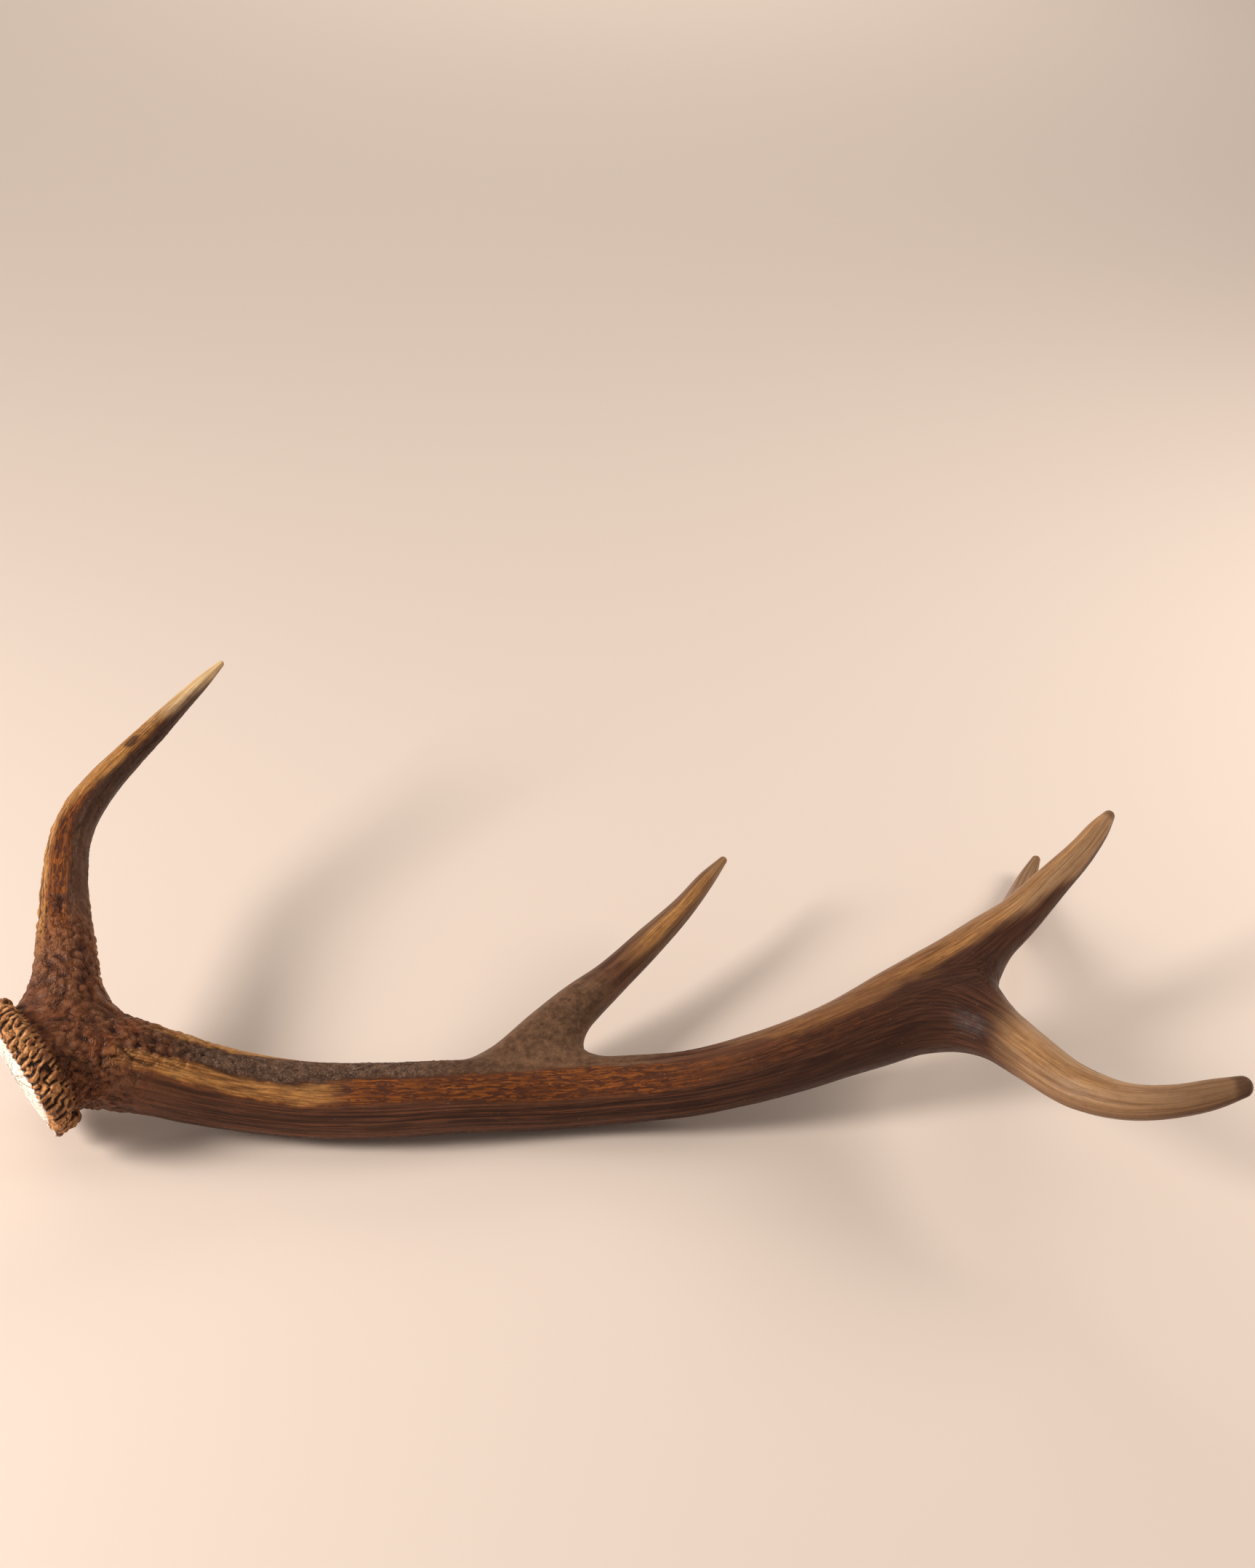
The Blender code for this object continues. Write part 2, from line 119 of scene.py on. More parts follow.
# How near each tine comes to the rest before the skin fills the fork between them.
WEB_REACH = (26, 22, 24, 26, 16)
WEB_LEAST = 0.15  # the share of that reach left where two skins run alike
PATH_STEP = 1.0  # spacing of the points read from each centre line
STRIDE = 8  # every eighth of those points is tried first
PLACES_AT_ONCE = 5000  # as many are measured together

# The burr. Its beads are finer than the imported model's, and have ridges over them.
BURR_CENTRE = np.array((-252.0, -116.0, 43.0))
BURR_NORMAL = unit((-0.74, -0.64, -0.2))  # points out of the cast face
BURR_ACROSS = unit(np.cross(BURR_NORMAL, (0, 0, 1.0)))
BURR_UP = np.cross(BURR_NORMAL, BURR_ACROSS)
BURR_RING_RADIUS = 25.5
BURR_RING_THICKNESS = 5
BURR_RING_WEB = 5
BURR_BEADS = 44
BURR_RIDGES = 54
RIDGE_STAGGER = 2.4  # radians of a ridge's wave from one row of ridges to the next
BEAD_RADIUS = 2.25
BEAD_SUNK = 0.35  # the share of its radius that a bead's middle lies inside the ring's rim
BEAD_ROW = 6  # spheres that make up one bead
BEAD_WEB = 0.8
BURR_SPACE = 60  # the beads touch nothing farther than this from the burr's centre
SEAL_OFFSET = 6.5  # from the burr's centre out to its flat cast face
SEAL_EDGE = 1.6
SEAL_DOME = 1.4
SEAL_DOME_RADII = (4, 27)  # the dome falls away from the first to the second

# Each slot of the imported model: centre, the branch's direction there, and radius.
SLOTS = {
    "beam": ((27, -75.5, 21), (0.97, 0.13, 0.2), 26),
    "brow": ((-250, -60, 63), (-0.3, 0.9, 0.28), 29),
    "trez": ((-9, -32, 32), (0.55, 0.82, 0.16), 24),
    "upper_crown": ((199, 9, 75), (0.62, 0.64, 0.42), 19),
    "outer_crown": ((186, -71, 62), (0.5, -0.84, 0.2), 20),
    "rear_crown": ((189, 23, 37.5), (0.38, 0.85, -0.36), 15.5),
}
# Each piece: a point on its centre line and its material slot.
PIECES = {
    "lower_beam": ((-130, -98, 17), "beam_bone"),
    "brow_tine": ((-266, 10, 82), "brow_bone"),
    "trez_tine": ((16, 5, 38), "tine_bone"),
    "upper_beam": ((94, -60, 36), "beam_bone"),
    "upper_crown_tine": ((227, 41, 91), "crown_bone"),
    "outer_crown_tine": ((243, -122, 83), "crown_bone"),
    "rear_crown_tine": ((209, 75, 17.5), "crown_bone"),
}
END_ANGLES = (0.35, 0.7, 1.0, 1.25, 1.45)  # radians round from a tip's girth to its end
VOXEL = 0.82

# ---- the camera, from the photograph's own perspective ----
IMAGE_HEIGHT = 2156
FOCAL_PIXELS = 2500
CAMERA_PLACE = (0.0036, -0.6745, 0.6292)
CAMERA_DROP = math.radians(35.9)
CAMERA_ROLL = math.radians(4.5)


# ---- centre lines ----


def smooth_path(stations):
    """Evenly spaced points and radii along a smooth curve through the stations."""
    knots = np.array(stations, float)
    gaps = lengths(np.diff(knots[:, :3], axis=0))
    at = np.concatenate([[0], np.cumsum(gaps)])
    slopes = np.gradient(knots, at, axis=0)
    s = np.linspace(0, at[-1], int(at[-1] / PATH_STEP) + 1)
    i = np.clip(np.searchsorted(at, s, side="right") - 1, 0, len(gaps) - 1)
    h = gaps[i][:, None]
    t = ((s - at[i]) / gaps[i])[:, None]
    curve = (
        (1 + 2 * t) * (1 - t) ** 2 * knots[i]
        + t * (1 - t) ** 2 * h * slopes[i]
        + t**2 * (3 - 2 * t) * knots[i + 1]
        + t**2 * (t - 1) * h * slopes[i + 1]
    )
    return curve[:, :3], curve[:, 3]


def carried_frames(points):
    """A direction along the path and two across it that turn as little as they can."""
    along = np.gradient(points, axis=0)
    along /= lengths(along)[:, None]
    side = np.cross(along[0], (0, 0, 1.0))
    sides = []
    for direction in along:
        side = unit(side - direction * side.dot(direction))
        sides.append(side)
    sides = np.array(sides)
    return along, sides, np.cross(along, sides)


def in_turns(function, places, *settings):
    """What a function gives for the places, worked out for some thousands at a time."""
    starts = range(0, len(places), PLACES_AT_ONCE)
    parts = [function(places[i : i + PLACES_AT_ONCE], *settings) for i in starts]
    return [np.concatenate(rows) for rows in zip(*parts)]


class Branch:
    """One tapered stretch of the antler around its centre line."""

    def __init__(self, stations):
        self.points, self.radii = smooth_path(stations)
        self.along, self.across, self.up = carried_frames(self.points)
        step = lengths(np.diff(self.points, axis=0)).mean()
        self.step = step
        self.taper = np.clip(np.gradient(self.radii) / step, -0.6, 0.6)
        self.girth = float(np.median(self.radii))
        self.length = step * (len(self.points) - 1)

    def nearest(self, places):
        """Index of the point whose skin each place lies nearest, among every eighth first."""
        gap = lengths(places[:, None] - self.points[::STRIDE]) - self.radii[::STRIDE]
        near = gap.argmin(axis=1)[:, None] * STRIDE + np.arange(-STRIDE, STRIDE + 1)
        near = np.clip(near, 0, len(self.points) - 1)
        gap = lengths(places[:, None] - self.points[near]) - self.radii[near]
        return (near[np.arange(len(places)), gap.argmin(axis=1)],)

    def field(self, places):
        """Distance to the skin, direction out of it, and where along and around it."""
        (i,) = in_turns(self.nearest, places)
        offset = places - self.points[i]
        ahead = (offset * self.along[i]).sum(axis=1)
        aside = lengths(offset - ahead[:, None] * self.along[i])
        taper = self.taper[i]
        shift = ahead + taper * aside / np.sqrt(1 - taper**2)
        shift = np.clip(shift, -0.5 * self.step, 0.5 * self.step)
        centre = self.points[i] + shift[:, None] * self.along[i]
        direction, reach = directed(places - centre)
        distance = reach - self.radii[i] - taper * shift
        around = np.stack(
            [(direction * self.across[i]).sum(axis=1), (direction * self.up[i]).sum(axis=1)]
        )
        length, radius = i * self.step + shift, self.radii[i] + taper * shift
        return distance, direction, around, length, radius, self.along[i]


# ---- the skin around the centre lines ----


def shared(first, second, share, bulge):
    """Between two distance fields, by the share of the first, with a rounded corner."""
    (a, toward_a), (b, toward_b) = first, second
    distance = b * (1 - share) + a * share + bulge * share * (1 - share)
    return distance, toward_b * (1 - share)[:, None] + toward_a * share[:, None]


def blend(first, second, reach):
    """The smooth union of two distance fields, each a pair of distance and direction.

    It fills a fork, where the two skins face each other, and not where they run alike.
    """
    apart = 1 - (first[1] * second[1]).sum(axis=1)
    reach = reach * np.clip(apart, WEB_LEAST, 1)
    share = np.clip(0.5 + 0.5 * (second[0] - first[0]) / reach, 0, 1)
    distance, direction = shared(first, second, share, -reach)
    return distance, directed(direction)[0]


def carve(first, second, reach):
    """What is inside both distance fields, with a softened edge where they meet."""
    share = np.clip(0.5 + 0.5 * (first[0] - second[0]) / reach, 0, 1)
    return shared(first, second, share, reach)


def round_burr(places):
    """How far each place lies along the burr's axis, and its offset across that axis."""
    offset = places - BURR_CENTRE
    height = offset @ BURR_NORMAL
    return height, offset - height[:, None] * BURR_NORMAL


def ring_field(places):
    """The burr's ring, a torus round the foot of the beam."""
    outward, _ = directed(round_burr(places)[1])
    direction, length = directed(places - BURR_CENTRE - outward * BURR_RING_RADIUS)
    return length - BURR_RING_THICKNESS, direction


def bead_points():
    """Centres and radii of the burr's beads, each a short row of points along its axis."""
    random = np.random.default_rng(11)
    points, radii = [], []
    for i in range(BURR_BEADS):
        turn = 2 * math.pi * (i + random.uniform(-0.3, 0.3)) / BURR_BEADS
        radius = BEAD_RADIUS * random.uniform(0.75, 1.25)
        out = BURR_RING_RADIUS + BURR_RING_THICKNESS - BEAD_SUNK * radius + random.uniform(-0.5, 0.9)
        lean = random.uniform(-0.035, 0.035)
        low, high = -4.5 + random.uniform(-1, 2), 3.2 + random.uniform(-1.5, 1)
        for shift in np.linspace(low, high, BEAD_ROW):
            angle = turn + lean * shift
            outward = math.cos(angle) * BURR_ACROSS + math.sin(angle) * BURR_UP
            points.append(BURR_CENTRE + out * outward + shift * BURR_NORMAL)
            radii.append(radius * random.uniform(0.8, 1.1))
    return np.array(points), np.array(radii)


def bead_field(places, beads):
    points, radii = beads
    gap = lengths(places[:, None] - points) - radii
    return gap.min(axis=1), directed(places - points[gap.argmin(axis=1)])[0]


def burr_ridges(places):
    """From 0 in the furrows of the burr to 1 on its short ridges, in two staggered rows."""
    height, radial = round_burr(places)
    turn = np.arctan2(radial @ BURR_UP, radial @ BURR_ACROSS) + 0.012 * height
    turn = turn + 0.07 * layered_noise(places / 8, 95)
    row = ramp(height + 2.5 * lattice_noise(places / 5, 97), -1.0, 0.6)
    first, second = np.sin(BURR_RIDGES * turn), np.sin(BURR_RIDGES * turn + RIDGE_STAGGER)
    return 0.5 + 0.5 * (first * (1 - row) + second * row)


def antler_field(branches, places):
    """Distance and direction to the whole antler's smooth skin, without its fine relief."""
    field = None
    for branch, reach in zip(branches, (0, *WEB_REACH)):
        own = branch.field(places)[:2]
        field = own if field is None else blend(field, own, reach)
    distance, direction = blend(field, ring_field(places), BURR_RING_WEB)
    near = lengths(places - BURR_CENTRE) < BURR_SPACE
    beads = in_turns(bead_field, places[near], bead_points())
    beads = blend((distance[near], direction[near]), beads, BEAD_WEB)
    distance[near], direction[near] = carve(beads, seal_field(places[near]), SEAL_EDGE)
    return distance, direction / lengths(direction)[:, None]


def seal_field(places):
    """Height over the flat face where the antler was cast off."""
    height = (places - BURR_CENTRE) @ BURR_NORMAL - SEAL_OFFSET
    return height, np.broadcast_to(BURR_NORMAL, places.shape)


# ---- noises ----


def hashed(cell, seed):
    """A number from 0 to 1 for each whole-number place, the same on every run."""
    x, y, z = cell.T
    mixed = (x * 374761393 + y * 668265263 + z * 2147483647 + seed * 974634777) & 0xFFFFFFFF
    mixed = ((mixed ^ (mixed >> 13)) * 1274126177) & 0xFFFFFFFF
    return ((mixed ^ (mixed >> 16)) & 0xFFFF) / 65535


def lattice_noise(places, seed):
    """Smooth noise between -1 and 1."""
    cell = np.floor(places).astype(np.int64)
    part = places - cell
    part = part * part * (3 - 2 * part)
    total = np.zeros(len(places))
    for corner in np.ndindex(2, 2, 2):
        corner = np.array(corner)
        weight = np.where(corner, part, 1 - part).prod(axis=1)
        total += (2 * hashed(cell + corner, seed) - 1) * weight
    return total


def layered_noise(places, seed):
    """Three layers of smooth noise, each half the size and half the strength of the last."""
    layers = [lattice_noise(places * 2**k + 7.7 * k, seed + k) / 2**k for k in range(3)]
    return sum(layers) / (1 + 1 / 2 + 1 / 4)


def cell_bumps(places, seed, size=0.75):
    """Rounded bumps, one in each unit cell, from 0 between them to 1 on top."""
    cell = np.floor(places).astype(np.int64)
    nearest = np.full(len(places), 9.0)
    for corner in np.ndindex(3, 3, 3):
        there = cell + np.array(corner) - 1
        point = there + np.stack([hashed(there, seed + k) for k in range(3)], axis=1)
        square = ((places - point) ** 2).sum(axis=1)
        nearest = np.minimum(nearest, square)
    return np.clip(1 - nearest / size**2, 0, 1)


def ramp(value, low, high):
    """0 below low and 1 above high, with a soft step between."""
    t = np.clip((value - low) / (high - low), 0, 1)
    return t * t * (3 - 2 * t)


def between(value, low, high, soft):
    return ramp(value, low - soft, low + soft) * (1 - ramp(value, high - soft, high + soft))


# ---- where each place of the skin lies on the antler ----

FORK_SOFTNESS = 2.4  # millimetres over which one branch's finish gives way to the next's
# Directions in the antler's frame. The front is the side that the photograph shows.
FRONT = np.array((0, -0.81, 0.586))
UPPER_SIDE = np.array((0, 0.586, 0.81))
BURR_SIDE = np.array((-1.0, 0, 0))
SLANT_SIDE = np.array((-0.7, 0.41, 0.57))
# The side of each branch from which the degrees round it are counted.
CLOCK_STARTS = (UPPER_SIDE, BURR_SIDE, SLANT_SIDE, SLANT_SIDE, UPPER_SIDE, BURR_SIDE)


def across_to(run, direction):
    """Unit directions across each run, as near as they can be to one direction."""
    return directed(direction - (run @ direction)[:, None] * run)[0]


class SkinMap:
    """For each place: how far each branch's own skin is, and where along and round it."""

    def __init__(self, branches, places):
        self.places, self.branches = places, branches
        fields = zip(*(branch.field(places) for branch in branches))
        gap, self.out, self.around, self.along, self.radius, self.run = map(np.array, fields)
        near = np.exp(-(gap - gap.min(axis=0)) / FORK_SOFTNESS)
        self.share = near / near.sum(axis=0)
        self.waver = layered_noise(places / 22, 90)
        self.flutter = layered_noise(places / 6, 93)
        self.clock = [self.clock_of(k) for k in range(len(branches))]

    def clock_of(self, k):
        """Degrees round branch k, from -90 to 270: 90 at its front, with a wavering edge."""
        start = across_to(self.run[k], CLOCK_STARTS[k])
        front = across_to(self.run[k], FRONT)
        front, _ = directed(front - (front * start).sum(axis=1)[:, None] * start)
        toward = (self.out[k] * front).sum(axis=1), (self.out[k] * start).sum(axis=1)
        degrees = np.degrees(np.arctan2(*toward)) + 6 * self.waver + 4 * self.flutter
        return (degrees + 90) % 360 - 90

    def grain(self, k):
        """Places with the grain of branch k: two across it, one along it, in millimetres."""
        girth = self.branches[k].girth
        return np.stack([*(self.around[k] * girth), self.along[k]], axis=1) + 31.7 * k

    def reach(self, k, waver):
        """Millimetres along branch k, for an edge that wavers by as many as given."""
        return self.along[k] + waver * self.waver

    def rest(self, k):
        """What is left of branch k before its tip, in millimetres."""
        return self.branches[k].length - self.along[k]

    def arc(self, k, start, stop, soft=8):
        """Where the degrees round branch k lie between start and stop."""
        return between(self.clock[k], start, stop, soft)

    def stretch(self, k, start, stop, soft, waver=0):
        """Where the millimetres along branch k lie between start and stop."""
        return between(self.reach(k, waver), start, stop, soft)

    def mixed(self, values):
        """One value for each place from one for each branch, or 0 where none is given."""
        return sum(self.share[k] * value for k, value in values.items())


# ---- masks: where each finish lies, in millimetres along each branch and degrees round it ----


def crust_edge(along):
    """The degrees round the beam at which its crust ends and its orange band begins."""
    return 59 - 12 * ramp(along, 100, 175) - 11 * ramp(along, 190, 270) + 10 * ramp(along, 270, 310)


def brow_edge(along):
    """The degrees round the brow tine at which its orange side gives way to the dark one."""
    return 109 + 22 * ramp(along, 142, 190)


def tan_edge(along):
    """The degrees round the upper crown tine at which its tan side gives way to the dark one."""
    return 62 + 22 * ramp(along, 96, 122) + 44 * ramp(along, 120, 156)


def outer_slant(skin):
    """Millimetres along the outer crown tine, for an edge that slants round it."""
    return skin.reach(OUTER, 8) - 0.14 * skin.clock[OUTER]


def pearled(skin):
    """Where the bone is knobbly: round the burr, and on the foot of the brow tine."""
    upper = skin.arc(BEAM, -70, 66, 20)
    beam = 1 - ramp(skin.reach(BEAM, 10), 44 + 26 * upper, 74 + 34 * upper)
    brow = 1 - ramp(skin.reach(BROW, 12), 50, 92)
    return {BEAM: beam, BROW: brow}


def crusted(skin):
    """The dull crust along the beam's upper side, and thinner on its back and the lower tines."""
    along = skin.along[BEAM]
    beam = skin.arc(BEAM, 24 - 26 * ramp(along, 70, 160), crust_edge(along) - 3, 5)
    beam = beam * skin.stretch(BEAM, 74, 222, 12, waver=8)
    back = 0.7 * skin.arc(BEAM, 236, 262, 10) * skin.stretch(BEAM, 60, 190, 20)
    brow = skin.arc(BROW, brow_edge(skin.along[BROW]), 176, 9) * skin.stretch(BROW, 60, 200, 16)
    trez = skin.arc(TREZ, 40, 130, 20) * skin.stretch(TREZ, 14, 76, 8)
    return {BEAM: np.maximum(beam, back), BROW: 0.28 * brow, TREZ: 0.45 * trez}


def furrowed(skin):
    """Deep crooked furrows, on the lower half of the brow tine."""
    brow = skin.stretch(BROW, 40, 135, 24, waver=8)
    return {BROW: brow * (0.55 + 0.45 * skin.arc(BROW, -80, 108, 14))}


def grooved(skin):
    """How deep the long grooves are. They fade towards the tips."""
    along = skin.along[BEAM]
    values = {BEAM: ramp(along, 40, 90) * (1 - 0.55 * ramp(along, 300, 390))}
    for k, strength in ((BROW, 1), (TREZ, 0.35), (UPPER, 0.4), (OUTER, 0.55), (REAR, 0.5)):
        values[k] = strength * ramp(skin.rest(k), 4, 60)
    return values


def polished(skin):
    """Where use has rubbed the bone smooth and glossy: the crown and the tips."""
    values = {BEAM: ramp(skin.along[BEAM], 290, 390)}
    for k, start in ((BROW, 75), (TREZ, 95), (UPPER, 300), (OUTER, 300), (REAR, 300)):
        values[k] = 1 - ramp(skin.rest(k) + 12 * skin.waver, 0.45 * start, start)
    return values


def gilded(skin):
    """The gold of the beam's rim and band, of one side of the lower tines, and of the crown. On the
    brow and upper crown tines, the side toward the lamp is partly their own gold and partly painted
    light. The upper crown tine's streak and the outer crown tine's ridge are painted highlights.
    """
    along = skin.along[BEAM]
    rim = skin.arc(BEAM, -70, 22 - 28 * ramp(along, 70, 160), 4) * skin.stretch(BEAM, 64, 150, 12)
    band = skin.arc(BEAM, crust_edge(along), 84, 4) * skin.stretch(BEAM, 52, 150, 14, waver=8)
    wide = 22 + 24 * ramp(along, 330, 372) - 14 * ramp(along, 395, 425)
    high = skin.arc(BEAM, -66, wide, 6) * skin.stretch(BEAM, 340, 424, 20, waver=12)
    # the brow tine's side toward the lamp: partly its own gold, partly painted light
    side = 54 + 66 * ramp(skin.along[BROW], 100, 165)
    brow = skin.arc(BROW, -72, side, 12) * ramp(skin.along[BROW], 26, 70)
    foot = skin.arc(BROW, 179, 215, 4) * skin.stretch(BROW, 30, 84, 12)
    tine = skin.reach(TREZ, 10)
    trez = skin.arc(TREZ, 52, 104, 12) * ramp(tine, 100, 128) * (1 - 0.6 * ramp(tine, 160, 188))
    # painted highlight: a glossy streak along the upper crown tine
    streak = skin.arc(UPPER, 38, 64, 8) * skin.stretch(UPPER, 30, 118, 16)
    # painted highlight along the outer crown tine's ridge
    outer = skin.arc(OUTER, 24, 74, 12) * skin.stretch(OUTER, 98, 152, 12)
    return {
        BEAM: np.maximum(np.maximum(rim, 0.3 * high), 0.7 * band),
        BROW: np.maximum(0.95 * brow, foot),
        TREZ: 0.8 * trez,
        # the upper crown tine's side toward the lamp, partly painted light, and its painted streak
        UPPER: np.maximum(0.42 * skin.arc(UPPER, -70, 50, 12), 0.6 * streak),
        OUTER: 0.4 * outer,
    }


def tanned(skin):
    """The tan and taupe of the crown's tines, and thinly of the trez tine. On the upper crown tine the
    tan side is the one toward the lamp, partly its own tan and partly painted light.
    """
    tine = skin.along[UPPER]
    # the side toward the lamp: partly its own tan, partly painted light
    upper = skin.arc(UPPER, -80, tan_edge(tine), 20) * ramp(tine, 62, 120)
    outer = ramp(outer_slant(skin), 74, 108) * (1 - 0.45 * skin.arc(OUTER, 118, 215, 14))
    outer = outer * (1 - 0.5 * ramp(skin.along[OUTER], 146, 196))
    rear = ramp(skin.reach(REAR, 12), 20, 70)
    trez = skin.arc(TREZ, -85, 150, 24) * ramp(skin.reach(TREZ, 10), 94, 132)
    return {TREZ: 0.3 * trez, UPPER: 0.92 * upper, OUTER: outer, REAR: 0.4 * rear}


def embered(skin):
    """The orange streaks: the beam's band, another on its back, and the brow tine's outer side."""
    along = skin.along[BEAM]
    band = skin.arc(BEAM, crust_edge(along) - 2, 87 - 10 * ramp(along, 310, 380), 4.5)
    band = band * skin.stretch(BEAM, 62, 410, 16, waver=8) * (1 - 0.75 * ramp(along, 285, 345))
    back = 0.7 * skin.arc(BEAM, 196, 232, 8) * skin.stretch(BEAM, 70, 330, 24)
    brow = skin.arc(BROW, -62, brow_edge(skin.along[BROW]), 9) * skin.stretch(BROW, 50, 205, 18)
    return {BEAM: np.maximum(band, back), BROW: brow}


def lined(skin):
    """Long, thin, straight lines: below the beam's band, and faint on the outer crown tine."""
    beam = skin.arc(BEAM, 94, 200, 6) * skin.stretch(BEAM, 74, 340, 40)
    return {BEAM: beam, OUTER: 0.3}


def tipped(skin):
    """The cream tips. The brow tine's reaches farther down its outer side."""
    wave = 7 * skin.flutter + 7 * skin.waver
    inner = np.clip(skin.clock[BROW] - 104, 0, 90)
    return {
        BROW: 1 - ramp(skin.rest(BROW) + wave + 0.6 * inner, 14, 76),
        TREZ: 0.12 * (1 - ramp(skin.rest(TREZ) + wave, 2, 22)),
        REAR: 0.08 * (1 - ramp(skin.rest(REAR) + wave, 30, 90)),
    }


def scorched(skin):
    """The dark, worn ends of two crown tines, and the brow tine's dark patches and spot."""
    spot = np.hypot((skin.along[BROW] - 178) / 5.5, (skin.clock[BROW] - 90) / 20)
    patches = 0.3 * ramp(skin.flutter + 0.4 * skin.waver, 0.3, 0.5)
    patches = patches * between(skin.rest(BROW), 44, 92, 8) * skin.arc(BROW, 60, 150, 10)
    return {
        BROW: np.maximum(patches, 1 - ramp(spot + 0.5 * skin.flutter, 0.7, 1.3)),
        OUTER: 0.8 * (1 - ramp(skin.rest(OUTER) + 2.5 * skin.flutter, 0.5, 4.5)),
        UPPER: 0.6 * (1 - ramp(skin.rest(UPPER) + 2 * skin.flutter, 0.5, 4)),
    }


def greyed(skin):
    """The dull grey-brown web of the trez fork."""
    edge = crust_edge(skin.along[BEAM]) - 3
    beam = skin.arc(BEAM, -64, edge, 5) * skin.stretch(BEAM, 196, 300, 16)
    return {BEAM: beam, TREZ: 1 - ramp(skin.reach(TREZ, 10), 70, 108)}


def darkened(skin):
    """The darkest bone: under the beam's band, in the crown's middle, and inside the tines. On the brow
    and upper crown tines it lies on the side away from the lamp, partly darker bone and partly painted
    shade.
    """
    along = skin.along[BEAM]
    under = 0.75 * skin.arc(BEAM, 92, 215, 6) * ramp(along, 56, 96)
    edge = 80 - 32 * ramp(along, 310, 375) - 18 * ramp(along, 400, 425) - 100 * ramp(along, 428, 446)
    crown = skin.arc(BEAM, edge, 225, 7) * ramp(along, 296, 366)
    tine = skin.along[BROW]
    # partly painted shade on the brow tine's side away from the lamp
    brow = skin.arc(BROW, brow_edge(tine), 205, 9) * ramp(tine, 110, 150)
    tine = skin.along[UPPER]
    # partly painted shade on the upper crown tine's side away from the lamp
    upper = skin.arc(UPPER, tan_edge(tine) + 4, 228, 20) * (1 - 0.45 * ramp(tine, 84, 130))
    foot = 1 - ramp(outer_slant(skin), 64, 102)
    end = 0.55 * ramp(skin.along[OUTER], 140, 190)
    trez = skin.arc(TREZ, 140, 215, 14) * ramp(skin.along[TREZ], 84, 120)
    return {
        BEAM: np.maximum(under, crown),
        BROW: 0.8 * brow,
        TREZ: 0.5 * trez,
        UPPER: 0.9 * upper,
        OUTER: 0.95 * np.maximum(foot, end),
        REAR: 0.7 * (1 - ramp(skin.along[REAR], 20, 60)),
    }


MASKS = (
    pearled, crusted, furrowed, grooved, polished, gilded, tanned,
    embered, lined, tipped, scorched, greyed, darkened,
)


# ---- the fine relief ----

# The size of each form across the grain, twice, and along it, in millimetres.
BEND_SIZE = (6, 6, 12)
BROAD_SIZE = (7.5, 7.5, 110)
RIB_SIZE = (3.1, 3.1, 52)
THREAD_SIZE = (1.6, 1.6, 24)
KNOB_SIZE = (2.3, 2.3, 4.2)
SPECK_SIZE = (2.2, 2.2, 3.2)
LUMP_SIZE = (6.5, 6.5, 11)
FURROW_SIZE = (3.6, 3.6, 20)
PIT_SIZE = (2.0, 2.0, 2.8)
GRIT_SIZE = 1.2
LEAST_SHARE = 0.004  # a branch's relief is left out where its share of the skin is less


def relief_of(skin, masks):
    """Height of the fine relief over the smooth skin, in millimetres.

    The whole number after the places in each noise is its seed.
    """
    total = np.zeros(len(skin.places))
    for k in range(len(skin.branches)):
        here = np.flatnonzero(skin.share[k] > LEAST_SHARE)
        grain = skin.grain(k)[here]
        bends = [lattice_noise(grain / BEND_SIZE, 40 + axis) for axis in range(3)]
        crooked = grain + 1.8 * np.stack(bends, axis=1)
        broad = lattice_noise(grain / BROAD_SIZE, 5)
        ribs = 0.5 - np.abs(lattice_noise(crooked / RIB_SIZE, 6)) * 1.7
        threads = lattice_noise(crooked / THREAD_SIZE, 7)
        height = masks["grooved"][here] * (0.45 * broad + 0.4 * ribs + 0.14 * threads)
        knobs = cell_bumps(crooked / KNOB_SIZE, 50) ** 0.8
        specks = cell_bumps(crooked / SPECK_SIZE, 56)
        lumps = layered_noise(crooked / LUMP_SIZE, 60)
        knobbly = 1.35 * (knobs - 0.45) + 0.3 * (specks - 0.4) + 0.35 * lumps
        height += masks["pearled"][here] * knobbly
        furrows = 0.4 - np.abs(layered_noise(crooked / FURROW_SIZE, 64)) * 2.1
        height += masks["furrowed"][here] * (0.95 * furrows + 0.3 * (specks - 0.5))
        pits = cell_bumps(crooked / PIT_SIZE, 70, 0.62)
        crust = 0.2 - 0.6 * pits + 0.3 * lattice_noise(crooked / GRIT_SIZE, 73)
        height += masks["crusted"][here] * crust
        total[here] += skin.share[k][here] * height
    total -= 0.5 * masks["scorched"] * ramp(skin.flutter, 0.1, 0.5)
    calm = ramp(skin.radius.max(axis=0), 1, 4)
    return total * calm


def seal_relief(places):
    """The cast face: a low dome of granular bone with pits."""
    _, radial = round_burr(places)
    dome = SEAL_DOME * (1 - ramp(lengths(radial), *SEAL_DOME_RADII))
    return dome - 0.7 * cell_bumps(places / 2.4, 80, 0.6) + 0.35 * layered_noise(places / 3.5, 83)


def burr_relief(places):
    return 1.3 * burr_ridges(places) - 0.8 + 0.45 * layered_noise(places / 2.6, 86)


# ---- the mesh ----


def guide_points(branch):
    """Places and radii inside the cast face, carried on round the branch's tip."""
    inside = seal_field(branch.points)[0] < -0.5
    radius = branch.radii[-1]
    points = list(branch.points[inside])
    points += [branch.points[-1] + radius * math.sin(a) * branch.along[-1] for a in END_ANGLES]
    return points, [*branch.radii[inside], *(radius * math.cos(a) for a in END_ANGLES)]


def linked(name, data):
    """A new object in the scene."""
    obj = bpy.data.objects.new(name, data)
    bpy.context.scene.collection.objects.link(obj)
    return obj


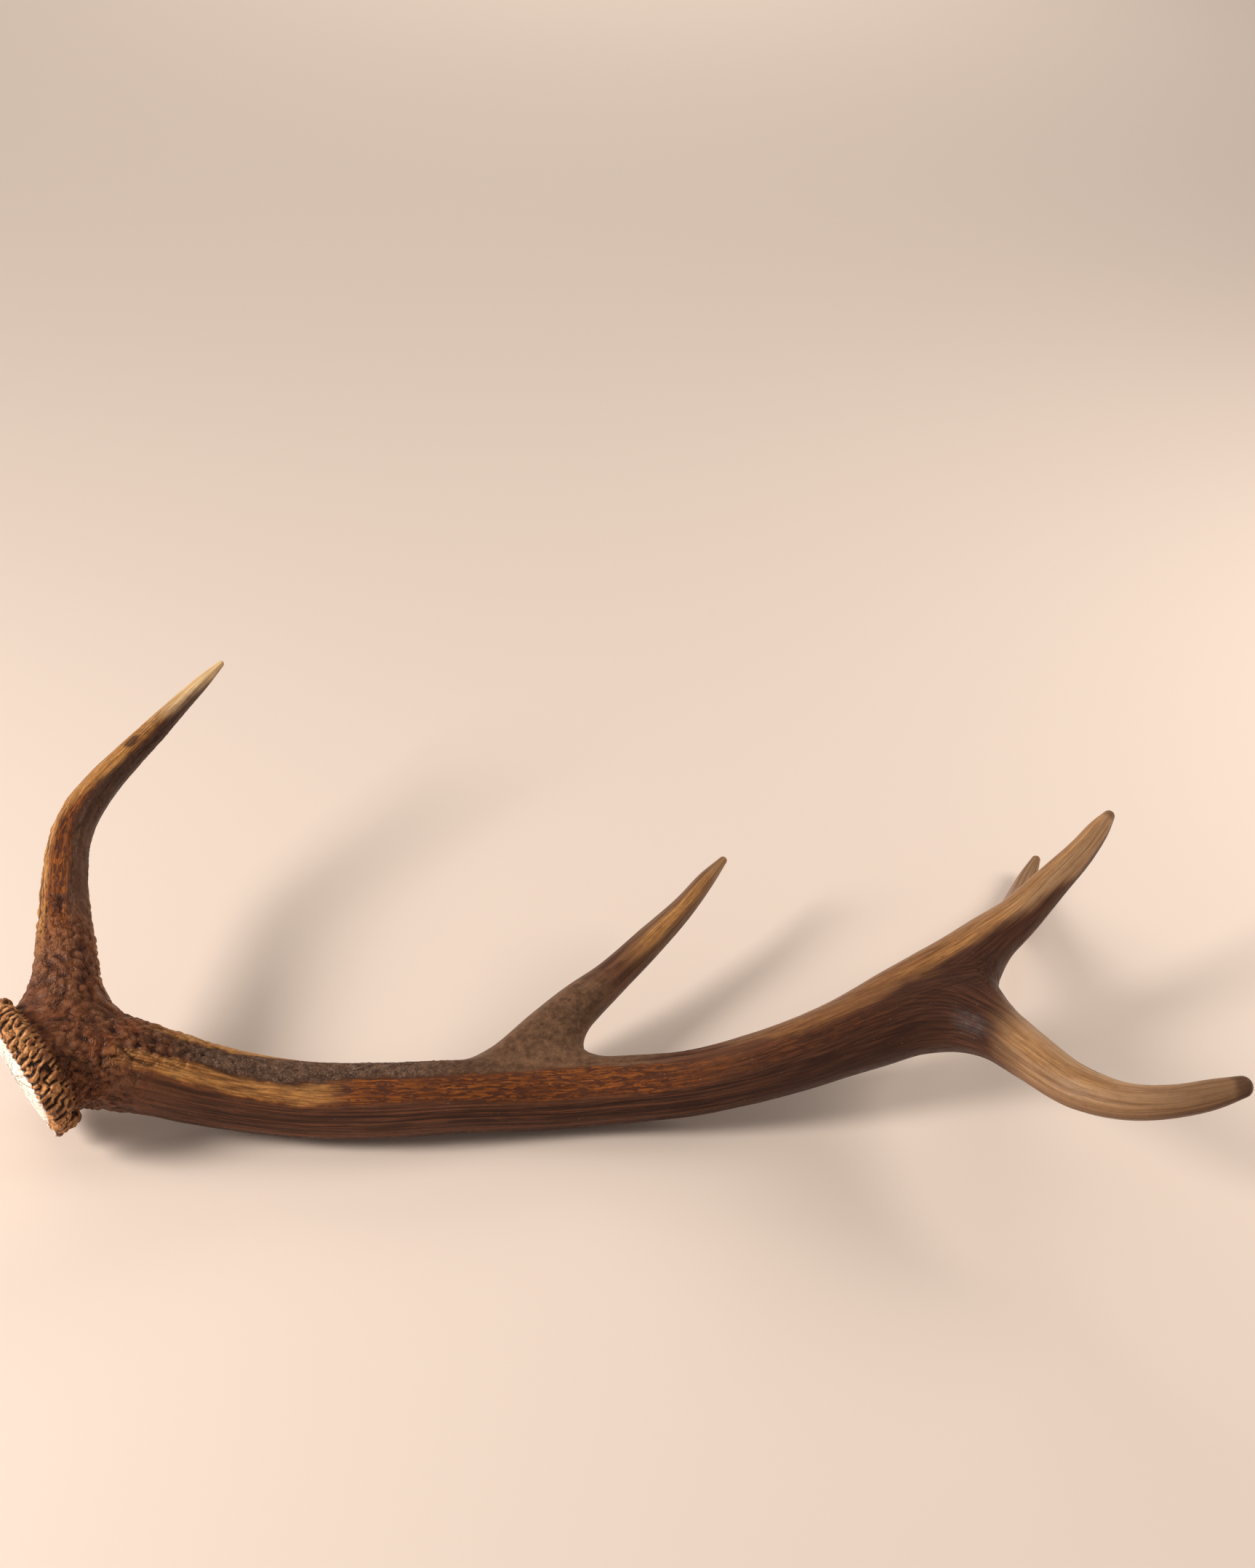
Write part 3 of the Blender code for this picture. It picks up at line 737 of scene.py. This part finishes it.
def tube_mesh(name, branch):
    """One branch as a bevelled curve turned into a mesh, with its caps welded."""
    points, radii = guide_points(branch)
    curve = bpy.data.curves.new(name, "CURVE")
    curve.dimensions = "3D"
    curve.bevel_depth = MM
    curve.bevel_resolution = 8
    curve.use_fill_caps = True
    spline = curve.splines.new("POLY")
    spline.points.add(len(points) - 1)
    for point, place, radius in zip(spline.points, points, radii):
        point.co = (*(place * MM), 1)
        point.radius = radius
    guide = linked(name, curve)
    graph = bpy.context.evaluated_depsgraph_get()
    mesh = bpy.data.meshes.new_from_object(guide.evaluated_get(graph))
    bpy.data.objects.remove(guide)
    shape = bmesh.new()
    shape.from_mesh(mesh)
    bmesh.ops.remove_doubles(shape, verts=shape.verts, dist=1e-6)
    shape.to_mesh(mesh)
    shape.free()
    return mesh


def burr_blank():
    """A plain ring where the burr will be, so that the skin's mesh reaches all round it."""
    bpy.ops.mesh.primitive_torus_add(
        major_radius=(BURR_RING_RADIUS + 2) * MM,
        minor_radius=(BURR_RING_THICKNESS + 2) * MM,
        major_segments=96,
        minor_segments=24,
    )
    blank = bpy.context.object
    for vertex in blank.data.vertices:
        x, y, z = vertex.co
        vertex.co = BURR_CENTRE * MM + x * BURR_ACROSS + y * BURR_UP + z * BURR_NORMAL
    mesh = blank.data.copy()
    bpy.data.objects.remove(blank)
    return mesh


def joined_object(name, meshes):
    shape = bmesh.new()
    for mesh in meshes:
        shape.from_mesh(mesh)
        bpy.data.meshes.remove(mesh)
    mesh = bpy.data.meshes.new(name)
    shape.to_mesh(mesh)
    shape.free()
    return linked(name, mesh)


def apply_modifier(obj, kind, **settings):
    modifier = obj.modifiers.new(kind.lower(), kind)
    for key, value in settings.items():
        setattr(modifier, key, value)
    graph = bpy.context.evaluated_depsgraph_get()
    mesh = bpy.data.meshes.new_from_object(obj.evaluated_get(graph))
    obj.modifiers.remove(modifier)
    old = obj.data
    obj.data = mesh
    bpy.data.meshes.remove(old)


def vertex_places(mesh):
    flat = np.empty(len(mesh.vertices) * 3)
    mesh.vertices.foreach_get("co", flat)
    return flat.reshape(-1, 3) / MM


def set_places(mesh, places):
    mesh.vertices.foreach_set("co", (places * MM).ravel())
    mesh.update()


def drawn_on(branches, places, rounds):
    """Places moved on to the antler's smooth skin, with the direction out of it."""
    for _ in range(rounds):
        distance, direction = antler_field(branches, places)
        places = places - distance[:, None] * direction
    return places, direction


def smooth_skin(branches):
    """The whole antler without its fine relief, as one even mesh."""
    meshes = [tube_mesh(f"guide_{i}", branch) for i, branch in enumerate(branches)]
    antler = joined_object("antler", [*meshes, burr_blank()])
    apply_modifier(antler, "REMESH", mode="VOXEL", voxel_size=VOXEL * MM)
    apply_modifier(antler, "SMOOTH", factor=0.5, iterations=16)
    places, _ = drawn_on(branches, vertex_places(antler.data), rounds=3)
    set_places(antler.data, places)
    apply_modifier(antler, "SMOOTH", factor=0.5, iterations=4)
    places, direction = drawn_on(branches, vertex_places(antler.data), rounds=2)
    return antler, places, direction


def set_attribute(mesh, name, values, kind="FLOAT"):
    attribute = mesh.attributes.new(name, kind, "POINT")
    field = "value" if kind == "FLOAT" else "vector"
    attribute.data.foreach_set(field, np.asarray(values, np.float32).ravel())


def grain_families(skin):
    """Grain places and weights for the shader, in three families of branches.

    Branches of one family never meet, so each family has one branch's grain everywhere.
    """
    found = {}
    for family, members in GRAIN_FAMILIES.items():
        shares = skin.share[list(members)]
        best = shares.argmax(axis=0)
        grain = np.zeros((len(skin.places), 3))
        for row, k in enumerate(members):
            grain[best == row] = skin.grain(k)[best == row]
        found[family] = grain, shares.sum(axis=0)
    return found


def detailed_antler(branches):
    antler, places, direction = smooth_skin(branches)
    skin = SkinMap(branches, places)
    masks = {mask.__name__: skin.mixed(mask(skin)) for mask in MASKS}
    masks["cut"] = ramp(seal_field(places)[0], -1.1, -0.5)
    masks["burr"] = (1 - ramp(ring_field(places)[0], 1.2, 4.2)) * (1 - masks["cut"])
    height = relief_of(skin, masks) * (1 - masks["burr"]) * (1 - masks["cut"])
    height += masks["cut"] * seal_relief(places) + masks["burr"] * burr_relief(places)
    set_places(antler.data, places + height[:, None] * direction)
    set_attribute(antler.data, "height", height)
    set_attribute(antler.data, "rim", burr_ridges(places))
    for family, (grain, weight) in grain_families(skin).items():
        set_attribute(antler.data, f"grain_{family}", grain, "FLOAT_VECTOR")
        set_attribute(antler.data, f"weight_{family}", weight)
    for name, values in masks.items():
        set_attribute(antler.data, name, np.clip(values, 0, 1))
    return antler


# ---- the pieces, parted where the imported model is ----


def cut_slot(shape, centre, direction, radius):
    """Part the skin along one slot's plane, inside its radius only."""
    middle, normal = Vector(np.array(centre, float) * MM), Vector(unit(direction))

    def in_slot(face):
        offset = face.calc_center_median() - middle
        return abs(offset.dot(normal)) < 3 * VOXEL * MM and offset.length < radius * MM

    near = [face for face in shape.faces if in_slot(face)]
    geometry = set(near)
    for face in near:
        geometry.update(face.verts, face.edges)
    done = bmesh.ops.bisect_plane(
        shape, geom=list(geometry), dist=1e-7, plane_co=middle, plane_no=normal
    )
    edges = [item for item in done["geom_cut"] if isinstance(item, bmesh.types.BMEdge)]
    bmesh.ops.split_edges(shape, edges=edges)


def close_holes(mesh):
    """Close each cut with a flat cap, and light the rest as if it were never cut."""
    shape = bmesh.new()
    shape.from_mesh(mesh)
    rim = [edge for edge in shape.edges if edge.is_boundary]
    caps = bmesh.ops.holes_fill(shape, edges=rim, sides=0)["faces"]
    for face in shape.faces:
        face.smooth = True
    for face in caps:
        face.smooth = False
    bmesh.ops.triangulate(shape, faces=caps)
    shape.normal_update()
    layer = shape.verts.layers.float_vector["whole_normal"]
    corners = [(face, vert) for face in shape.faces for vert in face.verts]
    # Copied into tuples, because the vectors of a bmesh are lost when it is freed.
    normals = [tuple(vert[layer] if face.smooth else face.normal) for face, vert in corners]
    shape.to_mesh(mesh)
    shape.free()
    mesh.normals_split_custom_set(normals)
    mesh.attributes.remove(mesh.attributes["whole_normal"])


def parted(antler):
    """The pieces of the antler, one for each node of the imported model."""
    mesh = antler.data
    normals = np.empty(len(mesh.vertices) * 3, np.float32)
    mesh.vertex_normals.foreach_get("vector", normals)
    set_attribute(mesh, "whole_normal", normals, "FLOAT_VECTOR")
    shape = bmesh.new()
    shape.from_mesh(mesh)
    for slot in SLOTS.values():
        cut_slot(shape, *slot)
    shape.to_mesh(mesh)
    shape.free()
    bpy.context.view_layer.objects.active = antler
    antler.select_set(True)
    bpy.ops.object.mode_set(mode="EDIT")
    bpy.ops.mesh.separate(type="LOOSE")
    bpy.ops.object.mode_set(mode="OBJECT")
    return [obj for obj in bpy.context.scene.objects if obj.name.startswith("antler")]


def place_pieces(loose):
    """Name each loose piece for the node whose centre line it holds, and hand it over."""
    pieces = {}
    for name, (point, slot) in PIECES.items():
        gaps = [lengths(vertex_places(obj.data) - point).min() for obj in loose]
        piece = pieces[name] = loose[int(np.argmin(gaps))]
        piece.name = f"{name}_skin"
        close_holes(piece.data)
        piece.data.transform(Matrix.Translation(Vector(ORIGIN) * -MM))
        piece.data.materials.clear()
        piece.data.materials.append(BONES[slot])
        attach(piece, "root")
        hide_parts(name)
    for scrap in set(loose) - set(pieces.values()):
        bpy.data.objects.remove(scrap)


# ---- materials ----

GLOSS = {"beam_bone": 0.14, "brow_bone": 0.14, "tine_bone": 0.14, "crown_bone": 0.15}
BROWN_DEEP = (0.06, 0.023, 0.012)
BROWN = (0.135, 0.052, 0.026)
RUSSET = (0.21, 0.07, 0.026)
NEAR_BLACK = (0.03, 0.012, 0.008)
DARK_RUST = (0.1, 0.038, 0.02)
LINE_RUST = (0.17, 0.06, 0.028)
# dark knob colour, also used as painted shade between the warts
KNOB_DARK = (0.055, 0.022, 0.013)
KNOB_LIGHT = (0.115, 0.04, 0.018)
KNOB_RED = (0.175, 0.052, 0.018)
CRUST_DARK = (0.11, 0.052, 0.03)
CRUST_LIGHT = (0.28, 0.145, 0.085)
CRUST_SPECK = (0.52, 0.38, 0.28)
WEB_DARK = (0.125, 0.06, 0.031)
WEB_LIGHT = (0.26, 0.13, 0.067)
TAN_DARK = (0.24, 0.118, 0.052)
TAN_LIGHT = (0.46, 0.255, 0.124)
TAN_PALE = (0.56, 0.345, 0.185)
EMBER_SHADE = (0.08, 0.025, 0.012)
EMBER_DEEP = (0.125, 0.034, 0.009)
EMBER_BRIGHT = (0.31, 0.09, 0.018)
GOLD_DEEP = (0.29, 0.115, 0.034)
GOLD = (0.6, 0.285, 0.085)
CREAM_DEEP = (0.7, 0.41, 0.18)
CREAM = (0.96, 0.68, 0.37)
BEAD_DEEP = (0.31, 0.115, 0.042)
BEAD_BRIGHT = (0.7, 0.33, 0.125)
# painted shade for the hollows of the relief and the furrows of the burr
HOLLOW_SHADE = (0.026, 0.011, 0.008)
# painted highlight on the tops of the knobs
RIDGE_HIGHLIGHT = (0.33, 0.13, 0.056)
SCORCH = (0.06, 0.027, 0.017)
# pale specks scattered over the bone
PALE_SPECK = (0.62, 0.5, 0.4)
SEAL_DEEP = (0.82, 0.73, 0.6)
SEAL_PALE = (0.96, 0.91, 0.83)
SEAL_PIT = (0.5, 0.38, 0.26)
PAPER = (0.8, 0.655, 0.555)


class Nodes:
    """A material and its shader nodes."""

    def __init__(self, name):
        self.material = bpy.data.materials.new(name)
        self.material.use_nodes = True
        self.tree = self.material.node_tree
        self.shader = self.tree.nodes["Principled BSDF"]
        self.place = self.made("TexCoord", output="Object")

    def fill(self, node, inputs):
        """Link or set each input. A string stands for one of the mesh's attributes."""
        for key, value in inputs.items():
            if isinstance(value, str):
                value = self.attribute(value)
            if isinstance(value, bpy.types.NodeSocket):
                self.tree.links.new(value, node.inputs[key])
            else:
                node.inputs[key].default_value = value

    def made(self, kind, *values, inputs=None, output=0, **settings):
        """One output of a new node, whose inputs are given in order or by name or number."""
        node = self.tree.nodes.new("ShaderNode" + kind)
        for key, value in settings.items():
            setattr(node, key, value)
        self.fill(node, inputs or dict(enumerate(values)))
        return node.outputs[output]

    def attribute(self, name, output="Fac"):
        return self.made("Attribute", output=output, attribute_name=name)

    def math(self, operation, *values, clamp=False):
        return self.made("Math", *values, operation=operation, use_clamp=clamp)

    def product(self, *values):
        return functools.reduce(functools.partial(self.math, "MULTIPLY"), values)

    def total(self, *values):
        return functools.reduce(functools.partial(self.math, "ADD"), values)

    def scaled(self, vector, factors):
        return self.made("VectorMath", vector, factors, operation="MULTIPLY")

    def noise(self, vector, scale=1.0, detail=3.0, roughness=0.55, distortion=0.0, output="Fac"):
        inputs = {"Vector": vector, "Scale": scale, "Detail": detail, "Roughness": roughness}
        inputs["Distortion"] = distortion
        return self.made("TexNoise", inputs=inputs, output=output)

    def cells(self, vector):
        """Distance from the nearest edge between cells, up to about 0.4 in their middles."""
        return self.made("TexVoronoi", vector, output="Distance", feature="DISTANCE_TO_EDGE")

    def bent(self, vector):
        """The vector, pushed about by noise, so that straight patterns run crooked."""
        push = self.noise(vector, 0.22, detail=2.0, roughness=0.5, output="Color")
        return self.made("VectorMath", push, (3.0, 3.0, 3.0), vector, operation="MULTIPLY_ADD")

    def step(self, value, low, high, start=0.0, end=1.0):
        """A soft step from start, where the value is low, to end, where it is high."""
        return self.made("MapRange", value, low, high, start, end, interpolation_type="SMOOTHSTEP")

    def mix(self, share, first, second):
        """A colour between two, by the share of the second."""
        first, second = (c if isinstance(c, bpy.types.NodeSocket) else (*c, 1) for c in (first, second))
        return self.made("Mix", inputs={0: share, 6: first, 7: second}, output=2, data_type="RGBA")

    def painted(self, colour, *coats):
        """The colour under coats. Each is a colour, and a soft step that gives its share."""
        for coat, *step in coats:
            colour = self.mix(self.step(*step), colour, coat)
        return colour

    def bump(self, height):
        """A normal from heights in millimetres."""
        return self.made("Bump", inputs={"Height": height, "Strength": 1.0, "Distance": MM})


def bone(name, gloss):
    """Antler bone. What differs over the antler comes from the masks in each mesh."""
    n = Nodes(name)
    grains = {family: n.attribute(f"grain_{family}", "Vector") for family in GRAIN_FAMILIES}
    bends = {family: n.bent(grain) for family, grain in grains.items()}

    def weighed(pattern, vectors, factors):
        """A pattern along the grain, each family of branches in the measure of its weight."""
        return n.total(*(
            n.product(pattern(n.scaled(vector, factors)), f"weight_{family}")
            for family, vector in vectors.items()
        ))

    def grained(factors, **settings):
        return weighed(functools.partial(n.noise, **settings), grains, factors)

    looks = {
        "streaks": grained((0.38, 0.38, 0.015), detail=4.0, distortion=0.4),
        "threads": grained((1.5, 1.5, 0.06), distortion=0.3),
        "flecks": grained((0.85, 0.85, 0.17), roughness=0.6, distortion=0.5),
        "lines": grained((0.9, 0.9, 0.004), detail=2.0),
        "pits": weighed(n.cells, bends, (0.62, 0.62, 0.42)),
        "warts": grained((0.4, 0.4, 0.26), detail=2.0, roughness=0.6, distortion=0.5),
        "patches": n.noise(n.place, scale=60.0, detail=4.0),
        "mottle": n.noise(n.place, scale=300.0, detail=4.0, roughness=0.65),
        "grit": n.noise(n.place, scale=1300.0, detail=2.0),
    }
    colour = brown_bone(n, **looks)
    colour = rough_bone(n, colour, **looks)
    colour = pale_bone(n, colour, **looks)
    n.fill(n.shader, {
        "Base Color": burr_and_ends(n, colour, **looks),
        "Roughness": roughness(n, **looks),
        "IOR": 1.5,
        "Specular IOR Level": gloss,
        "Normal": n.bump(fine_relief(n, **looks)),
    })
    return n.material


def roughness(n, threads, mottle, **_):
    dull = n.step(mottle, 0.3, 0.7, 0.3, 0.5)
    gloss = n.step(threads, 0.3, 0.7, 0.24, 0.36)
    shine = n.product("polished", n.step("darkened", 0, 0.6, 1, 0))
    rough = n.made("Mix", inputs={0: shine, 2: dull, 3: gloss})
    rough = n.total(rough, n.product("crusted", 0.18))
    return n.math("ADD", rough, n.product("cut", 0.3), clamp=True)


def fine_relief(n, streaks, threads, flecks, pits, warts, mottle, grit, **_):
    """Relief that is finer than the mesh, in millimetres."""
    wart = n.product(n.step(warts, 0.36, 0.62), "pearled", 0.9)
    ridge = n.product("rim", "burr", 0.8)
    groove = n.total(n.product(threads, 0.5), n.product(streaks, 1.0), n.product(flecks, 0.25))
    groove = n.product(groove, "grooved")
    pit = n.step(pits, 0.0, 0.2)
    crust = n.product(pit, "crusted", 0.4)
    web = n.product(pit, "greyed", 0.12)
    dull = n.product(mottle, n.step("polished", 0, 1, 0.35, 0.1))
    return n.total(wart, ridge, groove, crust, web, dull, n.product(grit, 0.03))


def brown_bone(n, streaks, threads, lines, mottle, **_):
    """The ground colour: brown, with fine straight lines and near-black stretches."""
    colour = n.painted(BROWN_DEEP, (BROWN, streaks, 0.4, 0.62), (RUSSET, threads, 0.52, 0.72, 0, 0.6))
    dark = n.painted(
        NEAR_BLACK, (DARK_RUST, threads, 0.36, 0.76), (BROWN_DEEP, mottle, 0.52, 0.7, 0, 0.4)
    )
    colour = n.mix(n.product("darkened", 0.92), colour, dark)
    bright = n.product(n.step(lines, 0.53, 0.6, 0, 0.75), "lined")
    deep = n.product(n.step(lines, 0.38, 0.46, 0.8, 0), "lined")
    return n.mix(deep, n.mix(bright, colour, LINE_RUST), NEAR_BLACK)


def rough_bone(n, colour, pits, warts, mottle, grit, patches, threads, **_):
    """The knobbly stretches, with painted shade between their warts and a painted highlight on their
    tops, the crust with its pale specks, and the trez fork's web.
    """
    knobbly = n.painted(
        KNOB_LIGHT,
        (KNOB_RED, patches, 0.42, 0.62),
        (KNOB_DARK, mottle, 0.45, 0.66, 0, 0.4),
        # painted shade between the warts
        (KNOB_DARK, warts, 0.38, 0.52, 0.45, 0),
        # painted highlight on the tops of the warts
        (RIDGE_HIGHLIGHT, warts, 0.56, 0.66, 0, 0.25),
    )
    colour = n.mix("pearled", colour, knobbly)
    crust = n.painted(
        CRUST_DARK, (CRUST_LIGHT, mottle, 0.4, 0.66), (CRUST_DARK, patches, 0.52, 0.62, 0, 0.7)
    )
    speck = n.product(n.step(pits, 0.16, 0.24, 0, 0.9), n.step(grit, 0.5, 0.6))
    colour = n.mix(n.product("crusted", 0.9), colour, n.mix(speck, crust, CRUST_SPECK))
    web = n.painted(WEB_DARK, (WEB_LIGHT, mottle, 0.3, 0.7), (WEB_LIGHT, threads, 0.5, 0.7, 0, 0.3))
    fleck = n.product(n.step(pits, 0.2, 0.3, 0, 0.35), n.step(patches, 0.5, 0.6))
    return n.mix(n.product("greyed", 0.9), colour, n.mix(fleck, web, CRUST_DARK))


def pale_bone(n, colour, streaks, threads, patches, flecks, mottle, **_):
    """The tan tines, the flecked orange band, the gold with its painted highlights and painted light,
    and the cream tips.
    """
    tan = n.painted(
        TAN_DARK,
        (TAN_LIGHT, streaks, 0.28, 0.66),
        (TAN_PALE, threads, 0.42, 0.7, 0, 0.5),
        (TAN_DARK, mottle, 0.45, 0.7, 0, 0.25),
    )
    colour = n.mix(n.product("tanned", 0.93), colour, tan)
    colour = n.mix(n.product("embered", 0.85), colour, EMBER_SHADE)
    share = n.product(n.step(flecks, 0.45, 0.53), "embered")
    share = n.product(share, n.step(patches, 0.3, 0.6, 0.45, 1.0))
    colour = n.mix(share, colour, n.painted(EMBER_DEEP, (EMBER_BRIGHT, threads, 0.35, 0.65)))
    # gold, which also carries painted highlights and the painted light on the lamp's side of two tines
    gold = n.painted(GOLD_DEEP, (GOLD, threads, 0.36, 0.62), (GOLD_DEEP, mottle, 0.48, 0.62, 0, 0.3))
    share = n.product("gilded", n.step(flecks, 0.34, 0.48, 0.58, 0.97))
    colour = n.mix(share, colour, gold)
    share = n.product("tipped", n.step(threads, 0.3, 0.6, 0.5, 1.0))
    return n.mix(share, colour, n.painted(CREAM_DEEP, (CREAM, streaks, 0.35, 0.65)))


def burr_and_ends(n, colour, mottle, grit, **_):
    """The burr's ochre beads with light ridges and painted shade in the furrows between them, painted
    shade in the hollows of the relief, a painted highlight on the knobs' tops, worn ends, and the cast
    face.
    """
    # painted shade in the furrows between the burr's ridges
    bead = n.painted(
        BEAD_DEEP, (BEAD_BRIGHT, mottle, 0.35, 0.62), (HOLLOW_SHADE, "rim", 0.2, 0.62, 0.92, 0)
    )
    colour = n.mix("burr", colour, bead)
    # painted shade in the hollows of the relief, fainter on the crust
    bare = n.step("crusted", 0, 1, 1, 0.2)
    colour = n.mix(n.product(n.step("height", -0.75, 0.0, 0.75, 0.0), bare), colour, HOLLOW_SHADE)
    # painted highlight where the knobbly relief stands highest
    ridge = n.product(n.step("height", 0.2, 0.8, 0.0, 0.4), "pearled")
    colour = n.mix(ridge, colour, RIDGE_HIGHLIGHT)
    colour = n.mix(n.product("scorched", 0.85), colour, SCORCH)
    # pale specks where the grit and the mottle are both high
    pale_specks = n.product(n.step(grit, 0.68, 0.74, 0, 0.45), n.step(mottle, 0.54, 0.64))
    colour = n.mix(pale_specks, colour, PALE_SPECK)
    pores = n.noise(n.place, scale=1100.0)
    seal = n.painted(SEAL_DEEP, (SEAL_PALE, mottle, 0.36, 0.6), (SEAL_PIT, pores, 0.56, 0.68, 0, 0.7))
    return n.mix("cut", colour, seal)


BONES = {name: bone(name, gloss) for name, gloss in GLOSS.items()}


# ---- the stage ----

FLOOR_SIZE = 6
# Each lamp: its place, what it is aimed at, its diameter and its watts.
LAMPS = {
    "key": ((-2.45, -0.95, 1.86), (0, -0.05, 0), 0.8, 41),
    "left": ((-0.95, -0.42, 0.6), (-0.25, -0.12, 0), 0.4, 7.5),
    "right": ((1.0, 0.3, 0.65), (0.3, 0.1, 0), 0.5, 6.5),
    "back": ((-0.15, 2.7, 1.5), (-0.1, 1.8, 0), 1.5, 19),
}
SHINING_LAMPS = ("key", "left")  # those that show as highlights
LAMP_COLOUR = (1, 0.97, 0.93)
ROOM_COLOUR = (1.0, 0.965, 0.93, 1)
ROOM_STRENGTH = 0.32


def make_floor():
    bpy.ops.mesh.primitive_plane_add(size=FLOOR_SIZE)
    floor = bpy.context.object
    floor.name = "paper_floor"
    n = Nodes("paper")
    fibre = n.noise(n.place, scale=900.0)
    colour = n.mix(fibre, [0.985 * c for c in PAPER], PAPER)
    n.fill(n.shader, {"Base Color": colour, "Roughness": 0.85, "Specular IOR Level": 0.2})
    floor.data.materials.append(n.material)


def area_light(name, place, target, size, power):
    data = bpy.data.lights.new(name, "AREA")
    data.shape = "DISK"
    data.size = size
    data.energy = power
    data.color = LAMP_COLOUR
    light = linked(name, data)
    light.location = place
    light.rotation_euler = (Vector(target) - light.location).to_track_quat("-Z", "Y").to_euler()
    light.visible_glossy = name in SHINING_LAMPS


def make_lights():
    for name, settings in LAMPS.items():
        area_light(name, *settings)
    world = bpy.data.worlds.new("soft_room")
    world.use_nodes = True
    background = world.node_tree.nodes["Background"]
    background.inputs["Color"].default_value = ROOM_COLOUR
    background.inputs["Strength"].default_value = ROOM_STRENGTH
    bpy.context.scene.world = world


def make_camera():
    data = bpy.data.cameras.new("camera")
    data.sensor_fit = "VERTICAL"
    data.sensor_height = 36
    data.lens = FOCAL_PIXELS / IMAGE_HEIGHT * data.sensor_height
    camera = linked("camera", data)
    forward = Vector((0, math.cos(CAMERA_DROP), -math.sin(CAMERA_DROP)))
    rise = Vector((0, math.sin(CAMERA_DROP), math.cos(CAMERA_DROP)))
    right = Vector((math.cos(CAMERA_ROLL), 0, 0)) + rise * math.sin(CAMERA_ROLL)
    up = right.cross(forward)
    turn = Matrix((right, up, -forward)).transposed()
    camera.matrix_world = Matrix.Translation(CAMERA_PLACE) @ turn.to_4x4()
    bpy.context.scene.camera = camera


def main():
    make_camera()
    make_lights()
    make_floor()
    branches = [Branch(stations) for stations in CENTRE_LINES]
    place_pieces(parted(detailed_antler(branches)))
    scene = bpy.context.scene
    scene.view_settings.view_transform = "Standard"


main()
